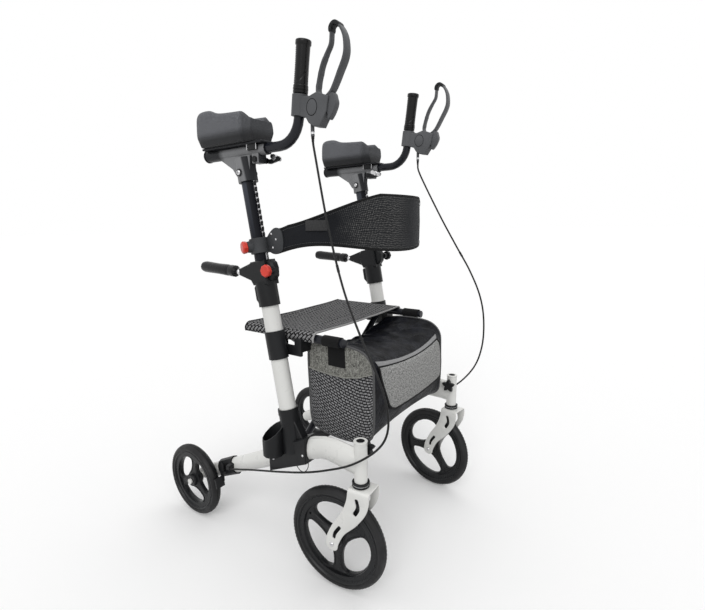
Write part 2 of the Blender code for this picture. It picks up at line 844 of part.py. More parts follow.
def cup_top_cutter(side):
    """Cuts the cup's mouth at a slant, low on its outer and rear side."""
    middle = cup_axis(side, CUP_MOUTH_Z)
    cutter = block(middle - Vector((0.05, 0.05, 0)), middle + Vector((0.05, 0.05, 0.06)))
    out, back = CUP_FALL
    axis = Vector((0, 0, 1)).cross(Vector((SIGN[side] * out, back, 0)))
    slant = Matrix.Translation(middle) @ Matrix.Rotation(CUP_SLANT, 4, axis) @ Matrix.Translation(-middle)
    cutter.data.transform(slant)
    clear = POST_R + 0.0045
    keep = rod(mast(side, -0.05), mast(side, 0.15), clear)
    return cut(cutter, keep)


def make_post(side, body):
    low, high = POST_H
    profile = ((POST_R, high), (POST_R, low), (POST_BORE_R, low), (POST_BORE_R, high))
    post = turned(profile, mast(side, 0), mast(side, 1) - mast(side, 0), TUBE_SIDES)
    finish(post, f"post_{side}", PAINT, body)


def make_seat_bracket(side, body):
    """The sleeve on the post, with an inner arm whose two cradles carry the seat rail."""
    low, high = BRACKET_H
    sleeve = mast_rod(side, low, high, POST_R + SLEEVE_WALL)
    arm = (-0.0280, -0.0185)
    y_front, y_rear = CRADLE_Y[0][0], CRADLE_Y[-1][1]
    rail = BRACE_X - SIDE_X
    join(sleeve, side_block(side, arm, (y_front, y_rear), (0.546, 0.572), 0.002))
    for y_range in CRADLE_Y:
        join(sleeve, side_block(side, (rail - 0.014, arm[1]), y_range, (0.556, RAIL_Z - 0.001), 0.0015))
    rail_path = rod(inside(side, BRACE_X, 0.15, RAIL_Z), inside(side, BRACE_X, 0.35, RAIL_Z), RAIL_R + GAP)
    cut(sleeve, mast_rod(side, low - 0.01, high + 0.01, POST_R + GAP), rail_path)
    finish(sleeve, f"seat_bracket_{side}", BLACK_PLASTIC, body)


def make_height_clamp(side, body):
    """The collar over the post's top and the clamp on it, with a wing for the side handle."""
    low, high = COLLAR_H
    clamp = mast_rod(side, low, high, COLLAR_R)
    foot, top = CLAMP_H
    lobe = ((-0.026, foot - 0.004), (0.026, foot), (0.033, foot + 0.016))
    lobe += ((0.033, top - 0.010), (0.024, top), (-0.026, top))
    nose = ((-0.018, foot + 0.002), (-0.033, foot + 0.005), (-0.043, foot + 0.015))
    nose += ((-0.046, top - 0.024), (-0.043, top - 0.010), (-0.034, top - 0.002), (-0.018, top - 0.001))
    ear_back = COLLAR_EAR_BACK
    ear_low, ear_high = low + 0.004, foot - 0.002
    collar_ear = ((0.014, ear_low), (ear_back - 0.010, ear_low), (ear_back, ear_low + 0.014))
    collar_ear += ((ear_back, ear_high - 0.004), (ear_back - 0.004, ear_high), (0.014, ear_high))
    back_end, height = WING_TIP
    wing = ((0.020, foot + 0.004), (0.030, foot + 0.006))
    wing += ((back_end, height - 0.008), (back_end, height + 0.008))
    wing += ((0.034, top - 0.001), (0.020, top - 0.001))
    out, back, h = HEIGHT_KNOB_AT
    boss = rod(mast(side, h, back, 0.010), mast(side, h, back, KNOB_BOSS_OUT), KNOB_STEM_R + 0.004)
    stem_hole = (mast(side, h, back, KNOB_BOSS_OUT - 0.010), mast(side, h, back, 0.06))
    join(
        clamp,
        slab(side, mast_outline(lobe), -CLAMP_HALF_WIDTH, CLAMP_HALF_WIDTH, rounding=0.003),
        slab(side, mast_outline(nose), -CLAMP_NOSE_HALF, CLAMP_NOSE_HALF, rounding=0.005),
        slab(side, mast_outline(collar_ear), -0.008, 0.008, rounding=0.002),
        slab(side, mast_outline(wing), -0.0085, 0.0085, rounding=0.002),
        boss,
    )
    cut(
        clamp,
        mast_rod(side, low - 0.01, POST_H[1] + GAP, POST_R + GAP),
        mast_rod(side, low, top + 0.01, HEIGHT_TUBE_R + GAP),
        rod(*stem_hole, bore(KNOB_STEM_R), sides=SMALL_SIDES),
    )
    finish(clamp, f"height_clamp_{side}", BLACK_PLASTIC, body)


def knob(base, direction):
    """A lobed round knob on a stem: its underside is at base, and it faces direction."""
    direction = Vector(direction).normalized()
    turn = rotation_to(direction)
    rings = []
    for distance, share in ((0, 0.94), (KNOB_THICKNESS - 0.003, 1.0), (KNOB_THICKNESS, 0.84)):
        ring = []
        for i in range(3 * KNOB_LOBES):
            angle = 2 * math.pi * i / (3 * KNOB_LOBES)
            radius = share * KNOB_R * (1 + 0.05 * math.cos(KNOB_LOBES * angle))
            point = Vector((radius * math.cos(angle), radius * math.sin(angle), distance))
            ring.append(Vector(base) + turn @ point)
        rings.append(ring)
    ends = (Vector(base) - direction * 0.008, Vector(base) + direction * 0.004)
    stem = rod(*ends, KNOB_STEM_R, sides=SMALL_SIDES)
    return join(loft(rings), stem)


def height_knob_seat(side):
    """Where the height knob's underside is, and the way that it faces."""
    out, back, h = HEIGHT_KNOB_AT
    base = mast(side, h, back, KNOB_BOSS_OUT + GAP)
    return base, Vector((SIGN[side], 0, 0))


def ring_knob_way(side):
    """The way that the backrest ring's knob faces: outwards and a little back."""
    turn = RING_KNOB_TURN
    return (mast(side, 0, math.sin(turn), math.cos(turn)) - mast(side, 0)).normalized()


def ring_knob_seat(side):
    way = ring_knob_way(side)
    middle = mast(side, (RING_H[0] + RING_H[1]) / 2)
    return middle + way * (RING_BOSS_REACH + GAP), way


def make_backrest_clamp(side, body):
    """The ring on the height tube, with the plate that the backrest band is riveted to."""
    ring = mast_rod(side, *RING_H, RING_R)
    base, way = ring_knob_seat(side)
    middle = base - way * (RING_BOSS_REACH + GAP)
    (y_low, y_high), (z_low, z_high) = PLATE_Y, PLATE_Z
    corner = 0.016
    outline = [(y_high, z_low + 0.004), (y_high, z_high - 0.014), (y_high - corner, z_high)]
    outline += [(y_low + corner, z_high), (y_low, z_high - corner), (y_low, z_low + corner)]
    outline += [(y_low + corner, z_low), (y_high - corner, z_low)]
    out = PLATE_X - SIDE_X
    tongue = slab(side, outline, out - PLATE_THICKNESS / 2, out + PLATE_THICKNESS / 2)
    join(ring, rod(middle, base - way * GAP, KNOB_STEM_R + 0.004), tongue)
    cut(
        ring,
        mast_rod(side, RING_H[0] - 0.01, RING_H[1] + 0.01, HEIGHT_TUBE_R + GAP),
        rod(base - way * 0.010, base + way * 0.01, bore(KNOB_STEM_R), sides=SMALL_SIDES),
    )
    finish(ring, f"backrest_clamp_{side}", BLACK_PLASTIC, body)


def make_side_handle(side, body):
    """The short push grip on a bright ball stem behind the height clamp."""
    tip = mast(side, WING_TIP[1], WING_TIP[0])
    y_low, y_high = SIDE_HANDLE_Y
    way = Vector((0, math.cos(SIDE_HANDLE_RISE), math.sin(SIDE_HANDLE_RISE)))
    stud = ball(tip + way * (STEM_BALL_R + GAP), STEM_BALL_R)
    start = tip + way * (y_low - tip.y)
    length = y_high - y_low
    radius = SIDE_HANDLE_R
    stations = [(0, radius - 0.004), (0.004, radius), (0.020, radius), (0.026, radius - 0.0025)]
    stations += [(0.034, radius), (length * 0.5, radius * 0.94), (length - 0.016, radius)]
    stations += [(length - 0.004, radius - 0.002), (length, radius - 0.006)]
    grip = lathe(stations, start, way)
    join(grip, stud, rod(tip + way * 0.006, start + way * 0.01, 0.0055, sides=SMALL_SIDES))
    finish(grip, f"side_handle_{side}", RUBBER, body)


def make_height_tube(side, body):
    """The toothed tube that slides in the post, on a bush at its lower end."""
    low, high = HEIGHT_TUBE_H
    tube = mast_rod(side, low, high, HEIGHT_TUBE_R)
    join(tube, mast_rod(side, low, low + BUSH_LENGTH, POST_BORE_R - GAP))
    bm = bmesh.new()
    lean = Matrix.Rotation(-MAST_LEAN, 4, "X")
    size = Matrix.Diagonal((0.011, 2 * TOOTH_DEPTH, TOOTH_PITCH * 0.52, 1))
    for i in range(TOOTH_COUNT):
        place = mast(side, TOOTH_START_H + i * TOOTH_PITCH, -HEIGHT_TUBE_R)
        bmesh.ops.create_cube(bm, size=1, matrix=Matrix.Translation(place) @ lean @ size)
    cut(tube, object_from(bm, "teeth"))
    finish(tube, f"height_tube_{side}", BLACK_PAINT, body)


def make_arm_bracket(side, body):
    """The height tube's head: a sleeve, a gusset, the handle bar's tunnel and the tray under the pad."""
    h_low, h_high = HEAD_DRAWN_H - SLEEVE_DEPTH, HEAD_DRAWN_H + 0.012
    bracket = mast_rod(side, h_low, h_high, HEIGHT_TUBE_R + HEAD_WALL)
    y_low, y_high = TUNNEL_Y
    gusset = ((0.312, 1.040), (0.316, 0.990), (0.352, 0.982), (0.366, 0.990), (0.380, 1.008))
    gusset += ((0.428, 1.036), (0.428, 1.046))
    lug_y, lug_z = BAR_CLAMP_AT
    tray = (y_low - 0.004, y_high - 0.006)
    lug = ((lug_y - 0.013, lug_y + 0.013), (lug_z - 0.009, TUNNEL_Z - 0.008))
    bolt_end = mast(side, BOLT_H, 0, HEIGHT_TUBE_R + HEAD_WALL + 0.0022)
    join(
        bracket,
        slab(side, gusset, -0.010, 0.010, rounding=0.002),
        rod(at(side, 0, y_low, TUNNEL_Z), at(side, 0, y_high, TUNNEL_Z), TUNNEL_R),
        side_block(side, (-TRAY_HALF_WIDTH, TRAY_HALF_WIDTH), tray, TRAY_Z, 0.001),
        side_block(side, (-0.0125, 0.0125), *lug, 0.002),
        rod(mast(side, BOLT_H, 0, 0.012), bolt_end, BOLT_HEAD_R, sides=SMALL_SIDES),
    )
    cut(
        bracket,
        mast_rod(side, h_low - 0.01, HEAD_DRAWN_H + GAP, HEIGHT_TUBE_R + GAP),
        rod(at(side, 0, y_low - 0.02, TUNNEL_Z), at(side, 0, BAR_END_Y + 0.006, TUNNEL_Z), BAR_R + GAP),
        cross_rod(side, -0.02, 0.02, lug_y, lug_z, bore(CLAMP_BOLT_R)),
    )
    finish(bracket, f"arm_bracket_{side}", GREY_PLASTIC, body)


def pad_section(side, y, half_width, wall_top, floor_z):
    """A U-shaped section of the forearm pad, from its outer foot round to its inner one."""
    base = PAD_BASE_Z
    wall = PAD_WALL
    inner = half_width - wall
    half = [
        (half_width - 0.012, base),
        (half_width - 0.003, base + 0.008),
        (half_width, base + 0.024),
        (half_width - 0.001, wall_top - 0.010),
        (half_width - 0.004, wall_top - 0.002),
        (half_width - wall * 0.5, wall_top),
        (inner + 0.002, wall_top - 0.004),
        (inner - 0.001, wall_top - 0.014),
        (inner - 0.008, floor_z + 0.006),
        (inner - 0.020, floor_z),
    ]
    other = [(-x, z) for x, z in reversed(half)]
    return [at(side, x, y, z) for x, z in half + other]


def make_arm_pad(side, body):
    """The moulded trough that the forearm lies in: high walls behind, low ones in front."""
    floor_z = PAD_BASE_Z + PAD_FLOOR
    rings = [
        pad_section(side, y, half_width, wall_top, floor_z - dip)
        for y, half_width, wall_top, dip in PAD_STATIONS
    ]
    finish(loft(rings), f"arm_pad_{side}", FOAM, body)


def make_bar_clamp(side, body):
    """The wing lever and its bolt, which pinch the tunnel on the handle bar."""
    y, z = BAR_CLAMP_AT
    lever = ribbon(((y + 0.003, z), (y - 0.018, z - 0.004), (y - WING_LENGTH, z + 0.001)), 0.011)
    wing = slab(side, lever, -0.0235, -0.0170, rounding=0.001)
    join(
        wing,
        cross_rod(side, -0.0245, 0.0128 + GAP, y, z, CLAMP_BOLT_R),
        cross_rod(side, -0.0240, -0.0125 - GAP, y, z, 0.0075),
        cross_rod(side, 0.0125 + GAP, 0.0180, y, z, 0.0075, sides=6),
    )
    finish(wing, f"bar_clamp_{side}", STEEL, body)


def make_handle_bar(side, body):
    end = at(side, 0, BAR_END_Y, TUNNEL_Z)
    corner = at(side, 0, *BAR_BEND)
    top = at(side, 0, bar_y(BAR_TOP_Z), BAR_TOP_Z)
    route = [end, *rounded_corner(end, corner, top, BAR_BEND_R), top]
    finish(wire(route, BAR_R, 4), f"handle_bar_{side}", BLACK_PAINT, body)


def make_hand_grip(side, body):
    low, high = GRIP_Z
    start = at(side, 0, bar_y(low), low)
    way = at(side, 0, bar_y(high), high) - start
    length = way.length
    radius = GRIP_R
    stations = [(0, radius - 0.002), (0.003, radius), (0.014, radius), (0.017, radius - 0.0015)]
    stations += [(0.024, radius - 0.001), (length * 0.55, radius - 0.0015)]
    stations += [(length - 0.012, radius - 0.0005), (length - 0.009, radius + 0.0012)]
    stations += [(length - 0.003, radius + 0.0012), (length, radius - 0.003)]
    grip = lathe(stations, start, way)
    bore = bar_rod(side, low - 0.01, BAR_TOP_Z + GAP, BAR_R + GAP)
    finish(cut(grip, bore), f"hand_grip_{side}", RUBBER, body)


def make_brake_housing(side, body):
    """The lever's housing: a clamp on the bar and two cheeks that hold the lever's pin."""
    z_low, z_high = CLAMP_Z
    outline = ((0.150, 1.141), (0.124, 1.136), (0.104, 1.141), (0.072, 1.129), (0.0785, 1.100))
    outline += ((0.087, 1.086), (0.097, 1.072), (0.114, 1.075), (0.126, 1.083), (0.134, 1.095))
    outline += ((0.150, 1.100), (0.160, 1.105), (0.160, 1.138))
    width = HOUSING_HALF_WIDTH
    housing = bar_rod(side, z_low, z_high, BAR_R + 0.0065)
    y, z = LEVER_PIVOT
    join(housing, slab(side, outline, -width, width, rounding=0.0015))
    cut(
        housing,
        bar_rod(side, z_low - 0.03, z_high + 0.03, BAR_R + GAP),
        side_block(side, (-SLOT_HALF_WIDTH, SLOT_HALF_WIDTH), (0.05, SLOT_END_Y), (SLOT_FLOOR_Z, 1.17)),
    )
    _, cable_y, cable_z = CABLE_ROUTE[side][0]
    ferrule = (at(side, 0, cable_y, cable_z + GAP), at(side, 0, cable_y, cable_z + 0.03))
    join(
        housing,
        cross_rod(side, -width + 0.001, width - 0.001, y, z, LEVER_PIN_R, 8),
        rod(*ferrule, FERRULE_R, sides=SMALL_SIDES),
    )
    finish(housing, f"brake_housing_{side}", GREY_PLASTIC, body)


def make_brake_lever(side, body):
    """The loop lever: a closed band with a hub on the housing's pin."""
    middle = closed_curve([Vector(p) for p in LEVER_LOOP], 2)
    outer = offset_loop(middle, LEVER_BAND / 2)
    inner = offset_loop(middle, -LEVER_BAND / 2)
    width = LEVER_HALF_WIDTH
    y, z = LEVER_PIVOT
    neck = ((0.0640, 1.1340), (0.0580, 1.1225), (0.0570, 1.1130), (0.0645, 1.0970), (0.0755, 1.0850))
    neck += ((0.0795, 1.0865), (0.0800, 1.0980), (0.1050, 1.1090), (0.1180, 1.1130), (0.1150, 1.1340))
    neck += ((0.1010, 1.1360), (0.0810, 1.1330))
    lever = slab(side, outer, -width, width, [inner])
    join(
        lever,
        slab(side, neck, -width, width),
        cross_rod(side, -width, width, y, z, 0.0095, sides=TUBE_SIDES),
    )
    cut(lever, cross_rod(side, -0.02, 0.02, y, z, bore(LEVER_PIN_R)))
    finish(lever, f"brake_lever_{side}", GREY_PLASTIC, body)


def head_lift(side):
    """How far the height tube's head stands from where it is drawn."""
    return mast(side, HEIGHT_TUBE_H[1]) - mast(side, HEAD_DRAWN_H)


def cable_line(side):
    """The cable's line: its top goes with the head, and its lower half stays by the side frame."""
    points = []
    for x, y, z in CABLE_ROUTE[side]:
        share = min(1.0, max(0.0, (z - RAIL_Z) / (CABLE_ROUTE[side][1][2] - RAIL_Z)))
        points.append(at(side, x - SIDE_X, y, z) + head_lift(side) * share)
    return smooth_line(points, CABLE_TURN)


def make_brake_cable(side, body):
    cable = wire(cable_line(side), CABLE_R, CABLE_SIDES_RESOLUTION)
    finish(cable, f"brake_cable_{side}", CABLE_SKIN, body)


def make_rear_bracket(side, body):
    """The sleeve on the lower tube, with the brake arm's pin and the cable's stop."""
    y_front, y_rear = BRACKET_SLEEVE_Y
    wall = BRACKET_WALL
    rows = (y_front, y_rear)
    slope = math.atan2(lower_tube_z(y_rear) - lower_tube_z(y_front), y_rear - y_front)
    along = Vector((math.cos(slope), math.sin(slope)))
    rings = []
    for y in rows:
        half = (lower_tube_z(y, 1) - lower_tube_z(y)) * math.cos(slope) + wall
        ring = []
        for k in range(OVAL_SIDES):
            angle = 2 * math.pi * k / OVAL_SIDES
            out = (LOWER_TUBE_HALF_WIDTH + wall) * math.cos(angle)
            rise = half * math.sin(angle)
            ring.append(at(side, out, y - along.y * rise, lower_tube_z(y) + along.x * rise))
        rings.append(ring)
    sleeve = loft(rings)
    stop_x, stop_y, stop_z = CABLE_ROUTE[side][-1]
    stop_out, stop_up = (0.012, stop_x - SIDE_X + 0.005), (stop_z - 0.007, stop_z + 0.006)
    stop = (stop_out, (stop_y + 2 * GAP, stop_y + 0.014), stop_up)
    y, z = BRAKE_PIVOT
    join(
        sleeve,
        cross_rod(side, 0.014, ARM_OUT[0] - GAP, y, z, 0.0075),
        cross_rod(side, 0.014, ARM_OUT[1] + 0.002, y, z, BRAKE_PIN_R),
        side_block(side, *stop, 0.001),
    )
    cut(sleeve, lower_tube(side, GAP))
    finish(sleeve, f"rear_bracket_{side}", BLACK_PLASTIC, body)


def make_rear_brake(side, body):
    """The brake arm on the bracket's pin, whose shoe faces the tyre."""
    y, z = BRAKE_PIVOT
    wheel_y, wheel_z = REAR_AXLE
    face = REAR_WHEEL_R + SHOE_GAP
    thickness = 0.007
    shoe = []
    for radius in (face, face + thickness):
        angles = [SHOE_ANGLE + SHOE_SWEEP * (i / 4 - 0.5) for i in range(5)]
        arc = [(wheel_y + radius * math.cos(a), wheel_z + radius * math.sin(a)) for a in angles]
        shoe += arc if radius == face else list(reversed(arc))
    wheel_out = REAR_WHEEL_X - SIDE_X
    middle = face + thickness / 2
    foot = (wheel_y + middle * math.cos(SHOE_ANGLE), wheel_z + middle * math.sin(SHOE_ANGLE))
    arm = ribbon((foot, (y, z), (y - 0.004, z + 0.026)), 0.012)
    brake = slab(side, arm, *ARM_OUT)
    join(
        brake,
        slab(side, shoe, ARM_OUT[0], wheel_out + TYRE_HALF_WIDTH * 0.8, rounding=0.0005),
        cross_rod(side, *ARM_OUT, y, z, 0.0085, sides=TUBE_SIDES),
    )
    cut(brake, cross_rod(side, 0.0, 0.06, y, z, bore(BRAKE_PIN_R)))
    finish(brake, f"rear_brake_{side}", STEEL, body)


def wheel_window(centre, radius, hub_radius, turn):
    """One of a rim's three round-cornered windows."""
    outline = []
    low, high = hub_radius, radius
    for i in range(WINDOW_POINTS):
        angle = 2 * math.pi * i / WINDOW_POINTS
        along = math.copysign(abs(math.cos(angle)) ** WINDOW_SHAPE, math.cos(angle))
        aside = math.copysign(abs(math.sin(angle)) ** WINDOW_SHAPE, math.sin(angle))
        reach = (low + high) / 2 + (high - low) / 2 * along
        spread = math.pi / 3 - math.asin(SPOKE_WIDTH / 2 / reach)
        direction = turn + spread * aside
        outline.append((centre[0] + reach * math.cos(direction), centre[1] + reach * math.sin(direction)))
    return outline


def make_wheel(name, side, out, centre, radius, hub_half, turn, body):
    """A rim with three broad spokes, and the solid tyre on it."""
    rim_r = radius - TYRE_DEPTH
    window_r = rim_r - RIM_BAND
    steps = WHEEL_STEPS
    axis = Vector((1, 0, 0))
    middle = at(side, out, *centre)
    half = RIM_HALF_WIDTH
    rim = turned(((rim_r, half), (rim_r, -half), (window_r, -half), (window_r, half)), middle, axis, steps)
    angles = [2 * math.pi * (i + 0.5) / steps for i in range(steps)]
    web_r = window_r + 0.005
    circle = [(centre[0] + web_r * math.cos(a), centre[1] + web_r * math.sin(a)) for a in angles]
    turns = [turn + 2 * math.pi * i / 3 for i in range(3)]
    windows = [wheel_window(centre, window_r - 0.001, WINDOW_HUB_R, one) for one in turns]
    web = slab(side, circle, out - WEB_HALF_WIDTH, out + WEB_HALF_WIDTH, windows)
    join(rim, web, cross_rod(side, out - hub_half, out + hub_half, *centre, HUB_R, TUBE_SIDES))
    cut(rim, cross_rod(side, out - hub_half - 0.01, out + hub_half + 0.01, *centre, bore(AXLE_R)))
    finish(rim, f"{name}_rim_{side}", BLACK_PLASTIC, body)
    low = rim_r + GAP
    tyre_half = TYRE_HALF_WIDTH
    half_tread = ((radius, 0.0050), (radius - 0.006, tyre_half), (low, tyre_half * 0.88))
    tread = (*half_tread, *((r, -h) for r, h in reversed(half_tread)))
    tyre = turned(tread, middle, axis, steps)
    finish(tyre, f"{name}_tyre_{side}", TYRE, body)


def make_fork(side, body):
    """The caster fork: two cut-out legs under a crown, the stem above it and the wheel's axle."""
    outer = FORK_HALF_WIDTH
    slots = [ribbon(FORK_UPPER_SLOT, 0.010), ribbon(FORK_LOWER_SLOT, 0.008)]
    crown_low, crown_high = CROWN_Z
    crown_out = (HEAD_OUT - outer, HEAD_OUT + outer)
    fork = side_block(side, crown_out, (-0.0335, 0.0205), (crown_low, crown_high), 0.002)
    for leg_out in (crown_out[0], crown_out[1] - FORK_SHEET):
        join(fork, slab(side, FORK_OUTLINE, leg_out, leg_out + FORK_SHEET, slots))
    bearing = (crown_high - 0.001, HEAD_TUBE_Z[0] - GAP)
    stem_top = HEAD_TUBE_Z[1] - 0.010
    join(
        fork,
        rod(at(side, HEAD_OUT, 0, bearing[0]), at(side, HEAD_OUT, 0, bearing[1]), BEARING_R),
        rod(at(side, HEAD_OUT, 0, crown_high - 0.004), at(side, HEAD_OUT, 0, stem_top), STEM_R),
        cross_rod(side, crown_out[0] - 0.002, crown_out[1] + 0.002, *CASTER_AXLE, AXLE_R),
    )
    finish(fork, f"caster_fork_{side}", PAINT, body)


def make_star_knob(side, body):
    outline = []
    for i in range(4 * STAR_LOBES):
        angle = 2 * math.pi * i / (4 * STAR_LOBES)
        radius = STAR_KNOB_R * (0.76 + 0.24 * math.cos(STAR_LOBES * angle))
        outline.append((radius * math.sin(angle), STAR_KNOB_Z + radius * math.cos(angle)))
    tube = HEAD_OUT - HEAD_TUBE_R
    face = tube - 0.006
    star = slab(side, outline, face - 0.011, face)
    join(
        star,
        cross_rod(side, face - 0.004, tube - GAP, 0, STAR_KNOB_Z, 0.0075),
        cross_rod(side, face, tube + 0.005, 0, STAR_KNOB_Z, STAR_STUD_R),
    )
    finish(star, f"star_knob_{side}", BLACK_PLASTIC, body)


def make_strut(name, low_side, y, body):
    """A brace strut: from an eye on one frame joint's pin up to an eye on the other side's seat rail."""
    high_side = OTHER[low_side]
    low = inside(low_side, BRACE_X, y, BRACE_LOW_Z)
    high = inside(high_side, BRACE_X, y, RAIL_Z)
    half = Vector((0, STRUT_EYE_HALF, 0))
    strut = rod(low, high, STRUT_R)
    join(strut, rod(low - half, low + half, STRUT_EYE_R), rod(high - half, high + half, RAIL_EYE_R))
    middle = (low + high) / 2
    reach = Vector((0, 0.03, 0))
    cut(
        strut,
        rod(low - 2 * half, low + 2 * half, bore(HINGE_PIN_R), sides=SMALL_SIDES),
        rod(high - 2 * half, high + 2 * half, bore(RAIL_R, TUBE_SIDES)),
        rod(middle - reach, middle + reach, bore(CROSS_PIN_R), sides=SMALL_SIDES),
    )
    finish(strut, name, BLACK_PAINT, body)


def make_cross_pin(body):
    """The pin where the two struts cross."""
    z = (BRACE_LOW_Z + RAIL_Z) / 2
    y_low, y_high = BRACE_Y - STRUT_SHIFT - STRUT_R, BRACE_Y + STRUT_SHIFT + STRUT_R
    pin = rod((0, y_low - 0.003, z), (0, y_high + 0.003, z), CROSS_PIN_R, sides=SMALL_SIDES)
    join(
        pin,
        rod((0, y_low - 0.004, z), (0, y_low - GAP, z), CROSS_PIN_R + 0.004, sides=SMALL_SIDES),
        rod((0, y_high + GAP, z), (0, y_high + 0.004, z), CROSS_PIN_R + 0.004, sides=SMALL_SIDES),
    )
    finish(pin, "brace_pivot_pin", STEEL, body)


def make_seat_rail(side, body):
    y_low, y_high = RAIL_Y
    rail = rod(inside(side, BRACE_X, y_low, RAIL_Z), inside(side, BRACE_X, y_high, RAIL_Z), RAIL_R)
    finish(rail, f"seat_rail_{side}", BLACK_PAINT, body)


def seat_section(y, sag):
    """The seat cloth's section: over one rail, across with a sag, and over the other."""
    inner = RAIL_EYE_R + 0.0005
    outer = inner + SEAT_THICKNESS
    wrap = [math.radians(a) for a in (176, 155, 132, 110)]
    span = [BRACE_X * (i / 4 - 1) for i in range(9)]

    def side_points(radius):
        left = [(-BRACE_X + radius * math.cos(a), RAIL_Z + radius * math.sin(a)) for a in wrap]
        across = [(x, RAIL_Z + radius - sag * (1 - (x / BRACE_X) ** 2)) for x in span]
        right = [(-x, z) for x, z in reversed(left)]
        return left + across + right

    return [Vector((x, y, z)) for x, z in side_points(outer) + list(reversed(side_points(inner)))]


def make_seat(body):
    y_low, y_high = SEAT_Y
    stations = ((0, 0.35), (0.02, 0.7), (0.25, 1.0), (0.6, 1.0), (0.95, 0.7), (1, 0.4))
    rings = [seat_section(y_low + (y_high - y_low) * share, SEAT_SAG * sag) for share, sag in stations]
    finish(loft(rings), "seat", MESH_FABRIC, body)


def make_bag(body):
    """The shopping bag, closed by its cover, with the loops that hang it from the rails."""
    rings = []
    for share in BAG_SECTIONS:
        x = BAG_HALF_WIDTH * share
        middle = 1 - share * share
        ring = []
        for y, z in BAG_OUTLINE:
            lift = min(1.0, max(0.0, (z - 0.50) / 0.08))
            front = max(0.0, (0.06 - y) / 0.05)
            low = max(0.0, (0.41 - z) / 0.07) * (y < 0.1)
            forward = BAG_FRONT_BULGE * front * (1 - low) - BAG_LOW_TUCK * low
            ring.append(Vector((x, y - forward * middle, z - BAG_TOP_DIP * lift * middle)))
        rings.append(ring)
    bag = loft(rings)
    y_low, y_high = BAG_LOOP_Y
    loop_r = RAIL_R + 0.0030
    for side in SIDES:
        xs = sorted(SIGN[side] * x for x in (BAG_HALF_WIDTH - 0.003, BRACE_X - RAIL_R))
        join(
            bag,
            rod(inside(side, BRACE_X, y_low, RAIL_Z), inside(side, BRACE_X, y_high, RAIL_Z), loop_r),
            block((xs[0], y_low, RAIL_Z - 0.022), (xs[1], y_high, RAIL_Z - 0.004)),
        )
    for side in SIDES:
        cut(bag, rod(inside(side, BRACE_X, 0.0, RAIL_Z), inside(side, BRACE_X, 0.3, RAIL_Z), RAIL_R + GAP))
    finish(bag, "bag", MELANGE, body)


def band_line():
    """The backrest band's middle line as (x, y, share of the way to the front)."""
    x_end = PLATE_X - PLATE_THICKNESS / 2 - GAP - BAND_THICKNESS / 2
    y_turn = BAND_END_Y - 0.030
    line = [(-x_end, BAND_END_Y - 0.002, 0.0), (-x_end, y_turn, 0.0)]
    for i in range(1, BAND_STEPS):
        angle = math.pi * (i / BAND_STEPS - 0.5)
        share = math.cos(angle)
        line.append((x_end * math.sin(angle), y_turn - BAND_DEPTH * share**0.8, share))
    return line + [(x_end, y_turn, 0.0), (x_end, BAND_END_Y - 0.002, 0.0)]


def make_backrest_band(body):
    line = band_line()
    rings = []
    for i, (x, y, share) in enumerate(line):
        before, after = line[max(i - 1, 0)], line[min(i + 1, len(line) - 1)]
        along = Vector((after[0] - before[0], after[1] - before[1])).normalized()
        normal = Vector((along.y, -along.x))
        low = BAND_LOW_Z + BAND_LOW_RISE * math.sin(math.pi * share**0.8)
        top = BAND_END_TOP_Z + (BAND_FRONT_TOP_Z - BAND_END_TOP_Z) * share
        half = BAND_THICKNESS / 2
        inward = half + BAND_PADDING * share
        ring = []
        edge = ((-half, low + 0.004), (-half, top - 0.004), (0.0, top))
        edge += ((inward, top - 0.006), (inward, low + 0.006), (0.0, low))
        for offset, z in edge:
            ring.append(Vector((x - normal.x * offset, y - normal.y * offset, z)))
        rings.append(ring)
    finish(loft(rings), "backrest_band", MESH_FABRIC, body)


def build_side(side, frame, root):
    """All the pieces of one side, from the frame's empty."""
    for make in (make_side_frame, make_frame_joint, make_post, make_seat_bracket, make_height_clamp):
        make(side, frame)
    make_side_handle(side, frame)
    make_rear_bracket(side, frame)
    base, way = height_knob_seat(side)
    turning = body_empty(f"height_knob_axis_{side}", base, frame)
    finish(knob(base, way), f"height_knob_{side}", RED_PLASTIC, turning)
    star = body_empty(f"star_knob_axis_{side}", at(side, HEAD_OUT - HEAD_TUBE_R, 0, STAR_KNOB_Z), frame)
    make_star_knob(side, star)
    make_rear_brake(side, body_empty(f"rear_brake_axis_{side}", at(side, ARM_OUT[0], *BRAKE_PIVOT), frame))
    wheel_out = REAR_WHEEL_X - SIDE_X
    rolling = body_empty(f"rear_wheel_axis_{side}", at(side, wheel_out, *REAR_AXLE), frame)
    make_wheel("rear", side, wheel_out, REAR_AXLE, REAR_WHEEL_R, REAR_HUB_HALF, REAR_WHEEL_TURN, rolling)
    build_arm(side, frame)
    build_caster(side, frame)


